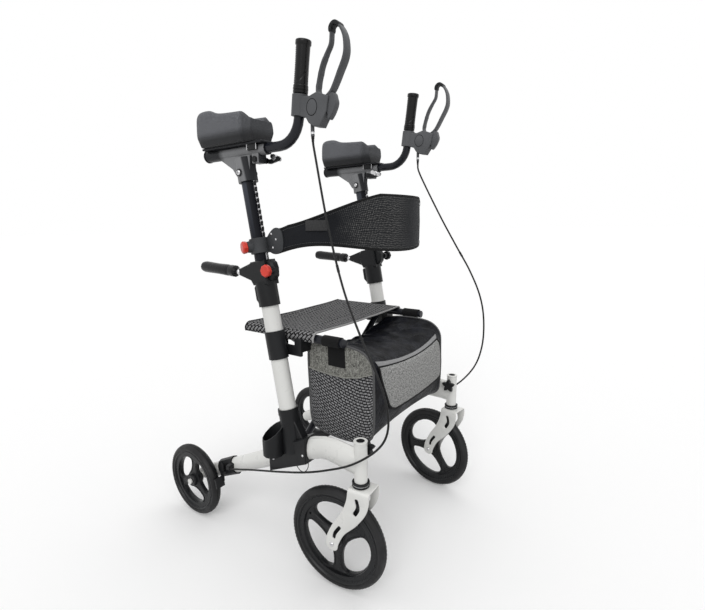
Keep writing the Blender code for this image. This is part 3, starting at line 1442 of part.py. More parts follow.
def build_arm(side, frame):
    """The height tube and what stands on it."""
    sliding = body_empty(f"height_axis_{side}", mast(side, HEIGHT_TUBE_H[0]), frame)
    make_height_tube(side, sliding)
    make_brake_cable(side, sliding)
    head = body_empty(f"head_{side}", mast(side, HEAD_DRAWN_H), sliding)
    make_arm_bracket(side, head)
    make_arm_pad(side, head)
    make_bar_clamp(side, body_empty(f"bar_clamp_axis_{side}", at(side, 0, *BAR_CLAMP_AT), head))
    ring = body_empty(f"backrest_axis_{side}", mast(side, RING_H[0]), sliding)
    make_backrest_clamp(side, ring)
    base, way = ring_knob_seat(side)
    turning = body_empty(f"backrest_knob_axis_{side}", base, ring)
    finish(knob(base, way), f"backrest_knob_{side}", RED_PLASTIC, turning)
    bar = body_empty(f"handle_bar_axis_{side}", at(side, 0, BAR_END_Y, TUNNEL_Z), head)
    for make in (make_handle_bar, make_hand_grip, make_brake_housing):
        make(side, bar)
    make_brake_lever(side, body_empty(f"brake_lever_axis_{side}", at(side, 0, *LEVER_PIVOT), bar))
    head.location += head_lift(side)
    if side == "R":
        make_backrest_band(ring)


def build_caster(side, frame):
    """The caster, turned about its stem to where it stands at rest."""
    swivel = body_empty(f"caster_axis_{side}", at(side, HEAD_OUT, 0, HEAD_TUBE_Z[0]), frame)
    make_fork(side, swivel)
    rolling = body_empty(f"front_wheel_axis_{side}", at(side, HEAD_OUT, *CASTER_AXLE), swivel)
    turn = FRONT_WHEEL_TURN[side]
    make_wheel("front", side, HEAD_OUT, CASTER_AXLE, FRONT_WHEEL_R, FRONT_HUB_HALF, turn, rolling)
    swivel.rotation_euler.z = CASTER_YAW[side]


def build_brace(right_frame):
    """The folding brace, the seat rails, the seat and the bag. Returns the left frame's empty."""
    y_right, y_left = BRACE_Y - STRUT_SHIFT, BRACE_Y + STRUT_SHIFT
    fold = body_empty("fold_axis", inside("R", BRACE_X, y_right, BRACE_LOW_Z), right_frame)
    make_strut("strut_right_to_left", "R", y_right, fold)
    make_cross_pin(fold)
    cross = body_empty("cross_axis", (0, BRACE_Y, (BRACE_LOW_Z + RAIL_Z) / 2), fold)
    make_strut("strut_left_to_right", "L", y_left, cross)
    make_seat_rail("L", body_empty("seat_rail_axis_L", inside("L", BRACE_X, y_right, RAIL_Z), fold))
    near_rail = body_empty("seat_rail_axis_R", inside("R", BRACE_X, y_left, RAIL_Z), cross)
    make_seat_rail("R", near_rail)
    make_seat(near_rail)
    make_bag(near_rail)
    return body_empty("left_frame_axis", inside("L", BRACE_X, y_left, BRACE_LOW_Z), cross)


def middle_y():
    """The middle of the walker's length, from the cables' foremost point to the rear tyres."""
    front = min(point.y for side in SIDES for point in cable_line(side)) - CABLE_R
    front = min(front, CASTER_TRAIL - FRONT_WHEEL_R)
    return (front + REAR_AXLE[0] + REAR_WHEEL_R) / 2


def build():
    root = body_empty("forearm_rollator", (0, 0, 0))
    build_side("R", root, root)
    left_frame = build_brace(root)
    build_side("L", left_frame, root)
    root.location = (0, -middle_y(), DATUM_Z)
    bpy.context.view_layer.update()


SIDES = ("R", "L")
SIGN = {"R": -1, "L": 1}
OTHER = {"R": "L", "L": "R"}

clear_scene()
PARTS = new_collection("forearm_rollator")
TOOLS = new_collection("tools", hidden=True)
build()
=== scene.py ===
import json
import math

import bmesh
import bpy
from mathutils import Matrix, Vector, noise
from mathutils.geometry import tessellate_polygon

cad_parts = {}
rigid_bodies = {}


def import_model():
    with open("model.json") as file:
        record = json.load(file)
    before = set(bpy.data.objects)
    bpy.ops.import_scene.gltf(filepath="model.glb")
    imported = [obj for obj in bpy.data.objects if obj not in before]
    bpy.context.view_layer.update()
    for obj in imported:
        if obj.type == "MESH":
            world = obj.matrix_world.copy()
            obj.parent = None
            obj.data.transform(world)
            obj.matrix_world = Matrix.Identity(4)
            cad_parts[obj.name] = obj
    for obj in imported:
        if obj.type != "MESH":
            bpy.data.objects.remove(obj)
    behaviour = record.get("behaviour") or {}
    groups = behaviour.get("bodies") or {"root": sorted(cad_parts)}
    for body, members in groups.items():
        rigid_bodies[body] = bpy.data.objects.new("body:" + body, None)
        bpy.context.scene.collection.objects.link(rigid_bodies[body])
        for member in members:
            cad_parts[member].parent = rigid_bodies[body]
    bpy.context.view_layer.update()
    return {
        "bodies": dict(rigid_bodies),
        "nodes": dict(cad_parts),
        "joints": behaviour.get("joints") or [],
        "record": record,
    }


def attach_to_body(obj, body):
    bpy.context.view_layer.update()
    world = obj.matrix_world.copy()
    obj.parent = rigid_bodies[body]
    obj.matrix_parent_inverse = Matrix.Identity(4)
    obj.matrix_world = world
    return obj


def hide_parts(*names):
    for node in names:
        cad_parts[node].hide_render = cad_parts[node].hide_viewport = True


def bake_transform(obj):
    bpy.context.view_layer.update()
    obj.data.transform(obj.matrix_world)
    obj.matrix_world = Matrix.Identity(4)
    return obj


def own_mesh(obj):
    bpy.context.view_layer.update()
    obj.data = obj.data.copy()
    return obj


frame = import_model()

SIGN = {"R": -1, "L": 1}
WORD = {"R": "right", "L": "left"}
FACES = ((1, "outer"), (-1, "inner"))

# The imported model's own datum: y from the caster stems, z from a level just over the floor
MIDDLE_Y = 0.31043
DATUM_Z = 0.006
SIDE_X = 0.246
MAST_LEAN = math.radians(10.1)
MAST_FOOT = (0.2193, 0.330)
RAIL_X = 0.202
RAIL_Z = 0.592
PAD_BASE = 1.0638
PLATE_X = 0.238


def world(x, y, z):
    return Vector((x, y - MIDDLE_Y, z + DATUM_Z))


def at(side, out, y, z):
    return world(SIGN[side] * (SIDE_X + out), y, z)


def inside(side, x, y, z):
    return world(SIGN[side] * x, y, z)


def mast(side, h, back=0.0, out=0.0):
    y = MAST_FOOT[0] + h * math.sin(MAST_LEAN) + back * math.cos(MAST_LEAN)
    z = MAST_FOOT[1] + h * math.cos(MAST_LEAN) - back * math.sin(MAST_LEAN)
    return at(side, out, y, z)


# Materials

CLOTH_MAP = "cloth"
# The way a face must turn to get the painted highlight of the dark height tube and arm bracket finishes
PAINTED_LIGHT_WAY = (-0.57, 0.82, 0)


def shade(colour, factor):
    return tuple(min(1.0, c * factor) for c in colour)


class Look:
    """A Principled material and what feeds it."""

    def __init__(self, name, colour, roughness, metallic=0.0, coords="Object", **sockets):
        self.material = bpy.data.materials.new(name)
        self.material.use_nodes = True
        self.tree = self.material.node_tree
        self.shader = self.tree.nodes["Principled BSDF"]
        self.colour = colour
        self.height = None
        sockets |= {"Base_Color": (*colour, 1), "Roughness": roughness, "Metallic": metallic}
        for socket, value in sockets.items():
            self.shader.inputs[socket.replace("_", " ")].default_value = value
        if coords == "UV":
            self.place = self.node("ShaderNodeUVMap", uv_map=CLOTH_MAP).outputs[0]
        else:
            self.place = self.node("ShaderNodeTexCoord").outputs[coords]

    def feed(self, socket, source):
        if hasattr(source, "is_linked"):
            self.tree.links.new(source, socket)
        else:
            socket.default_value = source

    def node(self, kind, inputs=(), **settings):
        """A new node. inputs gives the source or the constant of each socket."""
        made = self.tree.nodes.new(kind)
        for key, value in settings.items():
            setattr(made, key, value)
        for socket, source in dict(inputs).items():
            self.feed(made.inputs[socket], source)
        return made

    def maths(self, operation, *values, clamp=False):
        return self.node("ShaderNodeMath", enumerate(values), operation=operation, use_clamp=clamp).outputs[0]

    def times(self, a, b, clamp=False):
        return self.maths("MULTIPLY", a, b, clamp=clamp)

    def plus(self, a, b):
        return self.maths("ADD", a, b)

    def minus(self, a, b):
        return self.maths("SUBTRACT", a, b)

    def wave(self, source, pitch):
        """A sine that goes round once for each pitch of length."""
        return self.maths("SINE", self.times(source, 2 * math.pi / pitch))

    def noise(self, scale, detail=2.0, rough=0.5, stretch=None, distortion=0.0):
        place = self.place
        if stretch:
            place = self.node("ShaderNodeMapping", {"Vector": place, "Scale": stretch}).outputs[0]
        inputs = {"Vector": place, "Scale": scale, "Detail": detail, "Roughness": rough}
        inputs["Distortion"] = distortion
        return self.node("ShaderNodeTexNoise", inputs).outputs["Fac"]

    def between(self, fac, low, high, to_low=0.0, to_high=1.0):
        return self.node("ShaderNodeMapRange", enumerate((fac, low, high, to_low, to_high))).outputs[0]

    def mix(self, fac, a, b):
        made = self.node("ShaderNodeMix", {"Factor": fac}, data_type="RGBA")
        for name, value in (("A", a), ("B", b)):
            socket = [s for s in made.inputs if s.name == name and s.type == "RGBA"][0]
            self.feed(socket, value if hasattr(value, "is_linked") else (*value, 1))
        return [s for s in made.outputs if s.type == "RGBA"][0]

    def tone(self, fac, dark, light):
        """The material's colour times dark where fac is 0, and times light where it is 1."""
        return self.mix(fac, shade(self.colour, dark), shade(self.colour, light))

    def cloud(self, source, low, high, dark, light):
        return self.tone(self.between(source, low, high), dark, light)

    def paint(self, source):
        self.feed(self.shader.inputs["Base Color"], source)

    def gloss(self, source, *span):
        self.feed(self.shader.inputs["Roughness"], self.between(source, *span))

    def bump(self, height, distance, strength=1.0):
        made = self.node("ShaderNodeBump", {"Strength": strength, "Distance": distance, "Height": height})
        if self.height is not None:
            self.feed(made.inputs["Normal"], self.height)
        self.height = made.outputs[0]
        self.feed(self.shader.inputs["Normal"], self.height)

    def sides(self):
        """The place split into x, y and z."""
        return self.node("ShaderNodeSeparateXYZ", {0: self.place}).outputs


def moulded(name, colour, roughness, grain=1500, depth=0.00012, wear=1.35, specular=0.22, **sockets):
    """Injection-moulded plastic: fine grain, cloudy gloss and slight scuffs."""
    look = Look(name, colour, roughness, Specular_IOR_Level=specular, **sockets)
    look.paint(look.cloud(look.noise(9, 3), 0.35, 0.75, 0.86, wear))
    scuff = look.noise(160, 4, 0.7, stretch=(1, 1, 0.25))
    look.gloss(scuff, 0.3, 0.75, roughness - 0.07, roughness + 0.10)
    look.bump(look.noise(grain, 2), depth, 0.5)
    look.bump(look.noise(60, 2), 0.0004, 0.25)
    return look.material


def painted(name, colour, roughness, **sockets):
    """Powder coat: a little orange peel, slightly darker in patches."""
    look = Look(name, colour, roughness, **sockets)
    look.paint(look.cloud(look.noise(7, 2), 0.3, 0.8, 1.0, 0.94))
    look.gloss(look.noise(35, 3), 0.3, 0.7, roughness - 0.05, roughness + 0.08)
    look.bump(look.noise(420, 2), 0.00015, 0.35)
    return look.material


def painted_light_by_face(name, front, rear, top=2.0, back=2.0):
    """A dark surface with a painted highlight on faces turned back and to the right, stronger the higher they
    are; above top and behind back it stays dark, as painted shade.
    """
    look = Look(name, front, 0.36, Specular_IOR_Level=0.12)
    normal = look.node("ShaderNodeTexCoord").outputs["Normal"]
    turned_to_painted_light = look.node("ShaderNodeVectorMath", {0: normal, 1: PAINTED_LIGHT_WAY}, operation="DOT_PRODUCT")
    # edge: the painted highlight's mask, from how far each face turns to the painted light's way
    edge = look.between(turned_to_painted_light.outputs["Value"], -0.02, 0.16)
    _, y, z = look.sides()
    # high: the painted highlight grows with height and stops above top and behind back, which stay dark as
    # painted shade
    high = look.times(look.between(z, 0.84, 1.02, 0.12, 1.0), look.between(z, top, top - 0.002))
    high = look.times(high, look.between(y, back, back - 0.02))
    look.paint(look.mix(look.times(edge, high), front, rear))
    look.bump(look.noise(420, 2), 0.00015, 0.35)
    return look.material


def brushed(name, colour, roughness, stretch=(1, 1, 1)):
    look = Look(name, colour, roughness, 1.0)
    lines = look.noise(500, 3, 0.7, stretch=stretch)
    look.paint(look.cloud(lines, 0.3, 0.7, 0.82, 1.12))
    look.gloss(lines, 0.3, 0.7, roughness - 0.08, roughness + 0.14)
    look.bump(lines, 0.0001, 0.4)
    return look.material


def foam_skin(name, colour):
    """Skinned foam with a leathery grain and pale specks, with painted shade along its lower edge and over
    its front part.
    """
    look = Look(name, colour, 0.62, Sheen_Weight=0.06, Sheen_Roughness=0.5, Specular_IOR_Level=0.22)
    specks = look.noise(520, 2, 0.65)
    base = look.cloud(look.noise(12, 3), 0.3, 0.8, 0.85, 1.2)
    speckled = look.mix(look.between(specks, 0.46, 0.70, 0, 0.8), base, shade(colour, 2.2))
    _, y, z = look.sides()
    # Painted shade: low darkens the pad's lower band, and rear darkens its front part
    low = look.between(z, PAD_BASE + DATUM_Z + 0.012, PAD_BASE + DATUM_Z + 0.030)
    rear = look.between(y, 0.298 - MIDDLE_Y, 0.308 - MIDDLE_Y, 0.45, 1.0)
    look.paint(look.mix(look.times(low, rear), shade(colour, 0.20), speckled))
    look.gloss(specks, 0.3, 0.7, 0.72, 0.50)
    grain = look.node("ShaderNodeTexVoronoi", {"Vector": look.place, "Scale": 900})
    look.bump(grain.outputs["Distance"], 0.00045, 0.55)
    look.bump(look.noise(90, 3), 0.0006, 0.3)
    return look.material


def tyre_rubber(name, colour):
    look = Look(name, colour, 0.5, Specular_IOR_Level=0.26)
    look.paint(look.cloud(look.noise(26, 4, 0.6), 0.35, 0.8, 0.8, 1.9))
    look.gloss(look.noise(90, 3), 0.3, 0.7, 0.36, 0.6)
    look.bump(look.noise(700, 3), 0.0003, 0.5)
    return look.material


def cloth(name, colour, roughness, sheen, spread=0.5, coords="UV"):
    """A dull cloth with a little sheen."""
    more = {"Sheen_Weight": sheen, "Sheen_Roughness": spread, "Specular_IOR_Level": 0.15}
    return Look(name, colour, roughness, coords=coords, **more)


def spacer_mesh(name, dark, light, length, height, turn):
    """Open mesh cloth: short light dashes, laid like bricks at an angle, over a dark ground."""
    look = cloth(name, dark, 0.85, 0.02, 0.4)
    warp = look.node("ShaderNodeTexNoise", {"Vector": look.place, "Scale": 45}).outputs["Color"]
    waver = look.node("ShaderNodeVectorMath", operation="SCALE")
    look.feed(waver.inputs[0], warp)
    look.feed(waver.inputs["Scale"], length * 0.35)
    moved = look.node("ShaderNodeVectorMath", {0: look.place, 1: waver.outputs[0]}, operation="ADD")
    angle = {"Vector": moved.outputs[0], "Angle": math.radians(turn)}
    turned = look.node("ShaderNodeVectorRotate", angle, rotation_type="Z_AXIS").outputs[0]
    bricks = {"Vector": turned, "Scale": 1.0, "Brick Width": length, "Row Height": height, "Bias": 0.0}
    bricks |= {"Mortar Size": height * 0.24, "Mortar Smooth": 0.35}
    thread = look.minus(1.0, look.node("ShaderNodeTexBrick", bricks, offset=0.5).outputs["Fac"])
    patchy = look.between(look.noise(240, 3, 0.7), 0.35, 0.65, 0.15, 1.1)
    look.paint(look.mix(look.times(thread, patchy, clamp=True), dark, light))
    look.bump(thread, 0.0008, 0.5)
    return look.material


def ribbed_neoprene(name, dark, light, middle, spread, pitch=0.009):
    """Plain dark cloth, with a fine open knit for a spread on each side of the middle."""
    look = cloth(name, dark, 0.8, 0.06, 0.45)
    u, v, _ = look.sides()
    u = look.plus(u, look.times(look.noise(60, 2), 0.012))
    dots = look.times(look.wave(look.plus(u, v), pitch), look.wave(look.minus(v, look.times(u, 0.6)), pitch))
    worn = look.noise(170, 3, 0.7)
    knit = look.times(look.between(dots, -0.1, 0.8), look.between(worn, 0.35, 0.65, 0.2, 1.2))
    waver = look.times(look.minus(look.noise(14, 2), 0.5), 0.08)
    off = look.plus(look.maths("ABSOLUTE", look.minus(v, middle)), waver)
    shown = look.times(knit, look.between(off, spread, spread - 0.06), clamp=True)
    base = look.cloud(look.noise(10, 2), 0.3, 0.8, 0.8, 1.3)
    look.paint(look.mix(look.times(shown, 0.8), base, light))
    look.bump(dots, 0.0005, 0.5)
    look.bump(look.noise(900, 2), 0.0002, 0.4)
    return look.material


def melange(name, dark, light, streak=1.0):
    """Two-tone yarns: flecks about as long as the streak says."""
    look = cloth(name, light, 0.88, 0.05)
    fleck = look.noise(620, 3, 0.75, stretch=(1, 1 / streak, 1))
    broad = look.noise(190, 2, 0.6, stretch=(1, 1 / streak, 1))
    both = look.plus(look.times(fleck, 0.7), look.times(broad, 0.3))
    look.paint(look.mix(look.between(both, 0.43, 0.57), dark, light))
    look.bump(fleck, 0.0004, 0.6)
    return look.material


def nylon(name, colour, pitch=0.0016):
    """Thin coated nylon with a fine square weave and soft creases."""
    look = Look(name, colour, 0.42, coords="UV", Specular_IOR_Level=0.11)
    cloud = look.noise(24, 4, 0.65)
    look.paint(look.cloud(cloud, 0.42, 0.66, 0.7, 3.2))
    u, v, _ = look.sides()
    look.gloss(cloud, 0.3, 0.7, 0.5, 0.36)
    look.bump(look.noise(30, 4, 0.6, distortion=0.8), 0.009, 0.6)
    look.bump(look.times(look.wave(u, pitch), look.wave(v, pitch)), 0.0002, 0.4)
    return look.material


def webbing(name, colour, coords="UV", pitch=0.003):
    look = cloth(name, colour, 0.8, 0.03, coords=coords)
    u, v, _ = look.sides()
    ribs = look.times(look.wave(look.plus(u, v), pitch), look.wave(look.minus(u, v), pitch))
    worn = look.between(look.noise(300, 2), 0.3, 0.7, 0.4, 1.0)
    look.paint(look.tone(look.times(look.between(ribs, -0.5, 0.9), worn), 0.7, 1.9))
    look.bump(ribs, 0.0005, 0.6)
    return look.material


WHITE = painted("white_paint", (0.80, 0.80, 0.775), 0.30, Coat_Weight=0.25, Coat_Roughness=0.15)
DARK_PAINT = painted("black_paint", (0.0075, 0.0085, 0.013), 0.34, Specular_IOR_Level=0.28)
# Dark finishes with a painted highlight on faces turned to the light: the height tube's, and the arm
# bracket's with painted shade near its top and rear
TUBE_PAINT_PAINTED_LIGHT = painted_light_by_face("tube_paint_painted_light", (0.004, 0.0045, 0.0075), (0.075, 0.082, 0.1))
BRACKET_PAINTED_LIGHT = painted_light_by_face("bracket_plastic_painted_light", (0.024, 0.025, 0.028), (0.25, 0.253, 0.26), 1.063, 0.115)
BLACK = moulded("black_plastic", (0.0085, 0.009, 0.01), 0.42)
CHARCOAL = moulded("grey_plastic", (0.105, 0.108, 0.114), 0.55, grain=1900)
LEVER_GREY = moulded("lever_grey", (0.085, 0.088, 0.094), 0.42, grain=1700, specular=0.3)
PLATE_GREY = moulded("plate_grey", (0.04, 0.042, 0.045), 0.5, grain=1100, wear=1.7)
RIM = moulded("rim_plastic", (0.008, 0.0085, 0.0095), 0.30, wear=1.5, specular=0.24)
RED = moulded("red_plastic", (0.72, 0.055, 0.035), 0.34, wear=1.15, Coat_Weight=0.2)
CABLE_SKIN = moulded("cable_skin", (0.008, 0.008, 0.0085), 0.34, grain=700, wear=1.3)
# A matte near-black used as painted shade: inside the open head tube, and in the groove round each housing
# cap
RECESS_SHADE = moulded("painted_recess_shade", (0.004, 0.004, 0.005), 0.8, wear=1.0)
RUBBER = moulded("black_rubber", (0.005, 0.005, 0.0055), 0.24, 900, 0.0002, 1.9, 0.26)
SIDE_RUBBER = moulded("side_rubber", (0.0055, 0.0055, 0.0062), 0.26, 240, 0.0012, 2.6, 0.22)
TYRE = tyre_rubber("tyre", (0.0115, 0.0115, 0.0122))
STEEL = brushed("bright_steel", (0.62, 0.62, 0.63), 0.26)
STEEL_ALONG = brushed("steel_turned", (0.66, 0.66, 0.67), 0.20, stretch=(1, 0.05, 1))
FOAM = foam_skin("pad_foam", (0.098, 0.101, 0.11))
SEAT_CLOTH = spacer_mesh("seat_mesh", (0.006, 0.006, 0.0065), (0.36, 0.36, 0.365), 0.0185, 0.0095, 40)
POCKET_MESH = spacer_mesh("pocket_mesh", (0.0065, 0.0065, 0.0075), (0.40, 0.40, 0.41), 0.0125, 0.0068, -20)
BAND_CLOTH = ribbed_neoprene("band_cloth", (0.011, 0.012, 0.0145), (0.21, 0.207, 0.2), 0.285, 0.115)
NYLON = nylon("black_nylon", (0.003, 0.0033, 0.0048))
MELANGE = melange("melange", (0.10, 0.10, 0.098), (0.52, 0.52, 0.51))
MELANGE_SIDE = melange("melange_side", (0.055, 0.055, 0.05), (0.36, 0.36, 0.33), streak=2.6)
SIDE_BINDING = melange("side_binding", (0.16, 0.16, 0.145), (0.40, 0.40, 0.37))
TRIM = webbing("light_trim", (0.31, 0.31, 0.315))
LIGHT_PIPING = webbing("light_piping", (0.36, 0.36, 0.36))
GREY_BINDING = webbing("grey_binding", (0.11, 0.11, 0.112))
GREY_THREAD = webbing("grey_thread", (0.12, 0.12, 0.12), coords="Object")
BLACK_WEB = webbing("black_webbing", (0.006, 0.006, 0.0065))
BINDING = webbing("band_binding", (0.0085, 0.0085, 0.009))
LOOP_WEB = webbing("loop_webbing", (0.05, 0.05, 0.051))

MATERIALS_IN_SLOT = {
    "white_paint": (WHITE,), "black_paint": (DARK_PAINT, TUBE_PAINT_PAINTED_LIGHT), "red_plastic": (RED,), "tyre": (TYRE,),
    "black_plastic": (BLACK, RIM, RECESS_SHADE, PLATE_GREY), "grey_plastic": (CHARCOAL, BRACKET_PAINTED_LIGHT, LEVER_GREY),
    "bright_steel": (STEEL, STEEL_ALONG), "black_rubber": (RUBBER, SIDE_RUBBER), "pad_foam": (FOAM,),
    "cable_skin": (CABLE_SKIN,),
    "mesh_fabric": (SEAT_CLOTH, BAND_CLOTH, BLACK_WEB, LIGHT_PIPING, GREY_THREAD, BINDING, LOOP_WEB),
    "grey_melange": (POCKET_MESH, MELANGE, MELANGE_SIDE, SIDE_BINDING, TRIM, GREY_BINDING, NYLON),
}
SLOT_OF = {material: slot for slot, group in MATERIALS_IN_SLOT.items() for material in group}


# Mesh tools


def piece(name, bm, material, body=None, smooth=40, subdivide=0, replaces=None):
    """Turns a bmesh into a piece of the object that rides on a body."""
    bmesh.ops.recalc_face_normals(bm, faces=bm.faces)
    mesh = bpy.data.meshes.new(name)
    bm.to_mesh(mesh)
    bm.free()
    mesh.shade_smooth()
    mesh.materials.append(material)
    made = bpy.data.objects.new(name, mesh)
    bpy.context.scene.collection.objects.link(made)
    if subdivide:
        subdivision = made.modifiers.new("subdivision", "SUBSURF")
        subdivision.levels = subdivide
        subdivision.render_levels = subdivide
    else:
        mesh.set_sharp_from_angle(angle=math.radians(smooth))
    if body:
        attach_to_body(made, body)
    if replaces:
        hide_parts(replaces)
    return made


def lengths(points):
    total = [0.0]
    for a, b in zip(points, points[1:]):
        total.append(total[-1] + (Vector(b) - Vector(a)).length)
    return total


def skin(rings, closed=False, caps=True, bm=None):
    """Faces between rings of points, with UVs in metres: u round a ring, v from ring to ring."""
    bm = bm or bmesh.new()
    layer = bm.loops.layers.uv.get(CLOTH_MAP) or bm.loops.layers.uv.new(CLOTH_MAP)
    rows = [[bm.verts.new(p) for p in ring] for ring in rings]
    middle = rings[len(rings) // 2]
    us = lengths([*middle, middle[0]])
    centres = [sum((Vector(p) for p in ring), Vector()) / len(ring) for ring in rings]
    vs = lengths([*centres, centres[0]])
    count = len(rings[0])
    for i in range(len(rows) if closed else len(rows) - 1):
        k = (i + 1) % len(rows)
        for j in range(count):
            m = (j + 1) % count
            face = bm.faces.new((rows[i][j], rows[i][m], rows[k][m], rows[k][j]))
            corners = ((us[j], vs[i]), (us[j + 1], vs[i]), (us[j + 1], vs[i + 1]), (us[j], vs[i + 1]))
            for loop, uv in zip(face.loops, corners):
                loop[layer].uv = uv
    if caps and not closed:
        for row in (rows[0], rows[-1]):
            for loop in bm.faces.new(row).loops:
                loop[layer].uv = loop.vert.co.yz
    return bm


def on_curve(a, b, c, d, t):
    """The point at t from b to c, on a smooth curve through all four."""
    bend = 2 * a - 5 * b + 4 * c - d
    twist = 3 * b - a - 3 * c + d
    return (2 * b + (c - a) * t + bend * t * t + twist * t**3) / 2


def smooth_line(points, step):
    """Points about a step apart on a smooth curve through the given ones."""
    knots = [Vector(p) for p in points]
    ends = [2 * knots[0] - knots[1], *knots, 2 * knots[-1] - knots[-2]]
    line = []
    for four in zip(ends, ends[1:], ends[2:], ends[3:]):
        pieces = max(1, round((four[2] - four[1]).length / step))
        line += [on_curve(*four, i / pieces) for i in range(pieces)]
    return [*line, knots[-1]]


def round_outline(points, steps=4):
    """A smooth closed outline through (a, b) points."""
    loop = [Vector(p) for p in points]
    line = []
    for i in range(len(loop)):
        four = [loop[(i + k) % len(loop)] for k in (-1, 0, 1, 2)]
        line += [tuple(on_curve(*four, j / steps)) for j in range(steps)]
    return line


def frames_along(line, up=None, closed=False):
    """For each point of a line: two directions across it, without twist."""
    count = len(line)
    found = []
    across = None
    for i in range(count):
        after = line[(i + 1) % count] if closed else line[min(i + 1, count - 1)]
        before = line[i - 1] if closed else line[max(i - 1, 0)]
        along = (after - before).normalized()
        if up is not None:
            across = along.cross(up).normalized()
        elif across is None:
            across = along.orthogonal().normalized()
        else:
            across = (across - along * across.dot(along)).normalized()
        found.append((across, across.cross(along).normalized()))
    return found


def sweep(line, section, up=None, closed=False, bm=None):
    """A section of (across, over) points carried along a line."""
    rings = []
    for point, (across, over) in zip(line, frames_along(line, up, closed)):
        rings.append([point + across * a + over * b for a, b in section])
    return skin(rings, closed=closed, bm=bm)


def angles(count):
    return [2 * math.pi * i / count for i in range(count)]


def off(centre, radius, angle):
    return centre[0] + radius * math.cos(angle), centre[1] + radius * math.sin(angle)


def circle(radius, sides):
    return [off((0, 0), radius, angle) for angle in angles(sides)]


def oblong(width, height, corner, steps=3):
    """A rounded rectangle as (across, over) points."""
    points = []
    for cx, cy, start in ((1, 1, 0), (-1, 1, 90), (-1, -1, 180), (1, -1, 270)):
        middle = (cx * (width / 2 - corner), cy * (height / 2 - corner))
        points += [off(middle, corner, math.radians(start + 90 * i / steps)) for i in range(steps + 1)]
    return points


def rotation_to(direction):
    return Vector(direction).to_track_quat("Z", "Y").to_matrix()


def round_axis(start, direction):
    """Places a point by its radius, its angle and its distance along an axis."""
    turn = rotation_to(direction)
    return lambda r, angle, distance: Vector(start) + turn @ Vector((*off((0, 0), r, angle), distance))


def lathe(stations, start, direction, sides=32, bm=None):
    """A solid of revolution from (distance, radius) stations."""
    place = round_axis(start, direction)
    return skin([[place(r, a, distance) for a in angles(sides)] for distance, r in stations], bm=bm)


def turned_ring(profile, centre, direction, sides=64):
    """A closed profile of (radius, height) points turned about an axis."""
    place = round_axis(centre, direction)
    return skin([[place(r, a, height) for r, height in profile] for a in angles(sides)], closed=True)


def rod(name, a, b, radius, material, body):
    way = Vector(b) - Vector(a)
    return piece(name, lathe([(0, radius), (way.length, radius)], a, way, 24), material, body)


def screw(name, start, direction, radius, body):
    """A domed screw head with a four-armed recess."""
    place = round_axis(start, direction)
    height = radius * 0.55
    dome = [[(1, 0), (1, 0.35), (0.86, 0.75), (0.62, 1)], [(0.40, 1.02), (0.26, 0.45)]]
    rings = []
    for arms, part in zip((0, 0.42), dome):
        for r, h in part:
            sizes = [(radius * r * (1 + arms * math.cos(4 * a)), a) for a in angles(24)]
            rings.append([place(size, a, height * h) for size, a in sizes])
    return piece(name, skin(rings), STEEL, body, smooth=30)


def outward(loop):
    """The unit normals of a closed outline of 2-D points that runs counterclockwise."""
    normals = []
    for i, point in enumerate(loop):
        a = (point - loop[i - 1]).normalized()
        b = (loop[(i + 1) % len(loop)] - point).normalized()
        both = (Vector((a.y, -a.x)) + Vector((b.y, -b.x))).normalized()
        normals.append(both / max(0.6, both.dot(Vector((a.y, -a.x)))))
    return normals


def counterclockwise(outline):
    loop = [Vector(p[:2]) for p in outline]
    area = sum(a.x * b.y - b.x * a.y for a, b in zip(loop, loop[1:] + loop[:1]))
    return loop if area > 0 else loop[::-1]


def plate(outline, low, high, place, rounding, holes=(), bm=None):
    """A flat piece with rounded edges, from low to high. place(a, b, c) puts an outline point at level c."""
    bm = bm or bmesh.new()
    near = rounding * (1 - math.sqrt(0.5))
    edge = [(rounding, 0), (near, near), (0, rounding)]
    levels = [(inset, low + up) for inset, up in edge] + [(inset, high - up) for inset, up in reversed(edge)]
    loops = [(counterclockwise(outline), -1)] + [(counterclockwise(hole), 1) for hole in holes]
    ends = ([], [])
    for loop, way in loops:
        normals = outward(loop)
        rows = []
        for inset, level in levels:
            flat = [p + n * (way * inset) for p, n in zip(loop, normals)]
            rows.append([bm.verts.new(place(p.x, p.y, level)) for p in flat])
            if level in (levels[0][1], levels[-1][1]):
                ends[level == levels[-1][1]].append((flat, rows[-1]))
        for row, following in zip(rows, rows[1:]):
            for i in range(len(row)):
                j = (i + 1) % len(row)
                bm.faces.new((row[i], row[j], following[j], following[i]))
    for end in ends:
        corners = [v for _, row in end for v in row]
        for triangle in tessellate_polygon([[Vector((p.x, p.y, 0)) for p in points] for points, _ in end]):
            try:
                bm.faces.new([corners[i] for i in triangle])
            except ValueError:
                pass
    return bm


def side_place(side):
    """Places (y, z) points at a distance out from a side frame's middle plane."""
    return lambda a, b, c: at(side, c, a, b)


def ribbon(line, width, steps=5):
    """The outline of a bent strip with round ends."""
    left, right = [], []
    for i, point in enumerate(line):
        along = (line[min(i + 1, len(line) - 1)] - line[max(i - 1, 0)]).normalized()
        normal = Vector((along.y, -along.x)) * width / 2
        left.append(point + normal)
        right.append(point - normal)
    ends = []
    for tip, first in ((line[-1], left[-1]), (line[0], right[0])):
        turn = [Matrix.Rotation(math.pi * i / steps, 2) for i in range(1, steps)]
        ends.append([tip + rotation @ (first - tip) for rotation in turn])
    return [tuple(p) for p in [*left, *ends[0], *reversed(right), *ends[1]]]


# Camera, floor and light

CAMERA_PLACE = (-1.0069, -0.8255, 0.8795)
CAMERA_TURN = (-54.57, 10.60, -0.76)
SENSOR = 36
LENS = 22.356
WORLD_LIGHT = 0.66
FLOOR_SEEN = (1.0, 1.0, 1.0)
FLOOR_BOUNCE = (0.42, 0.42, 0.42)


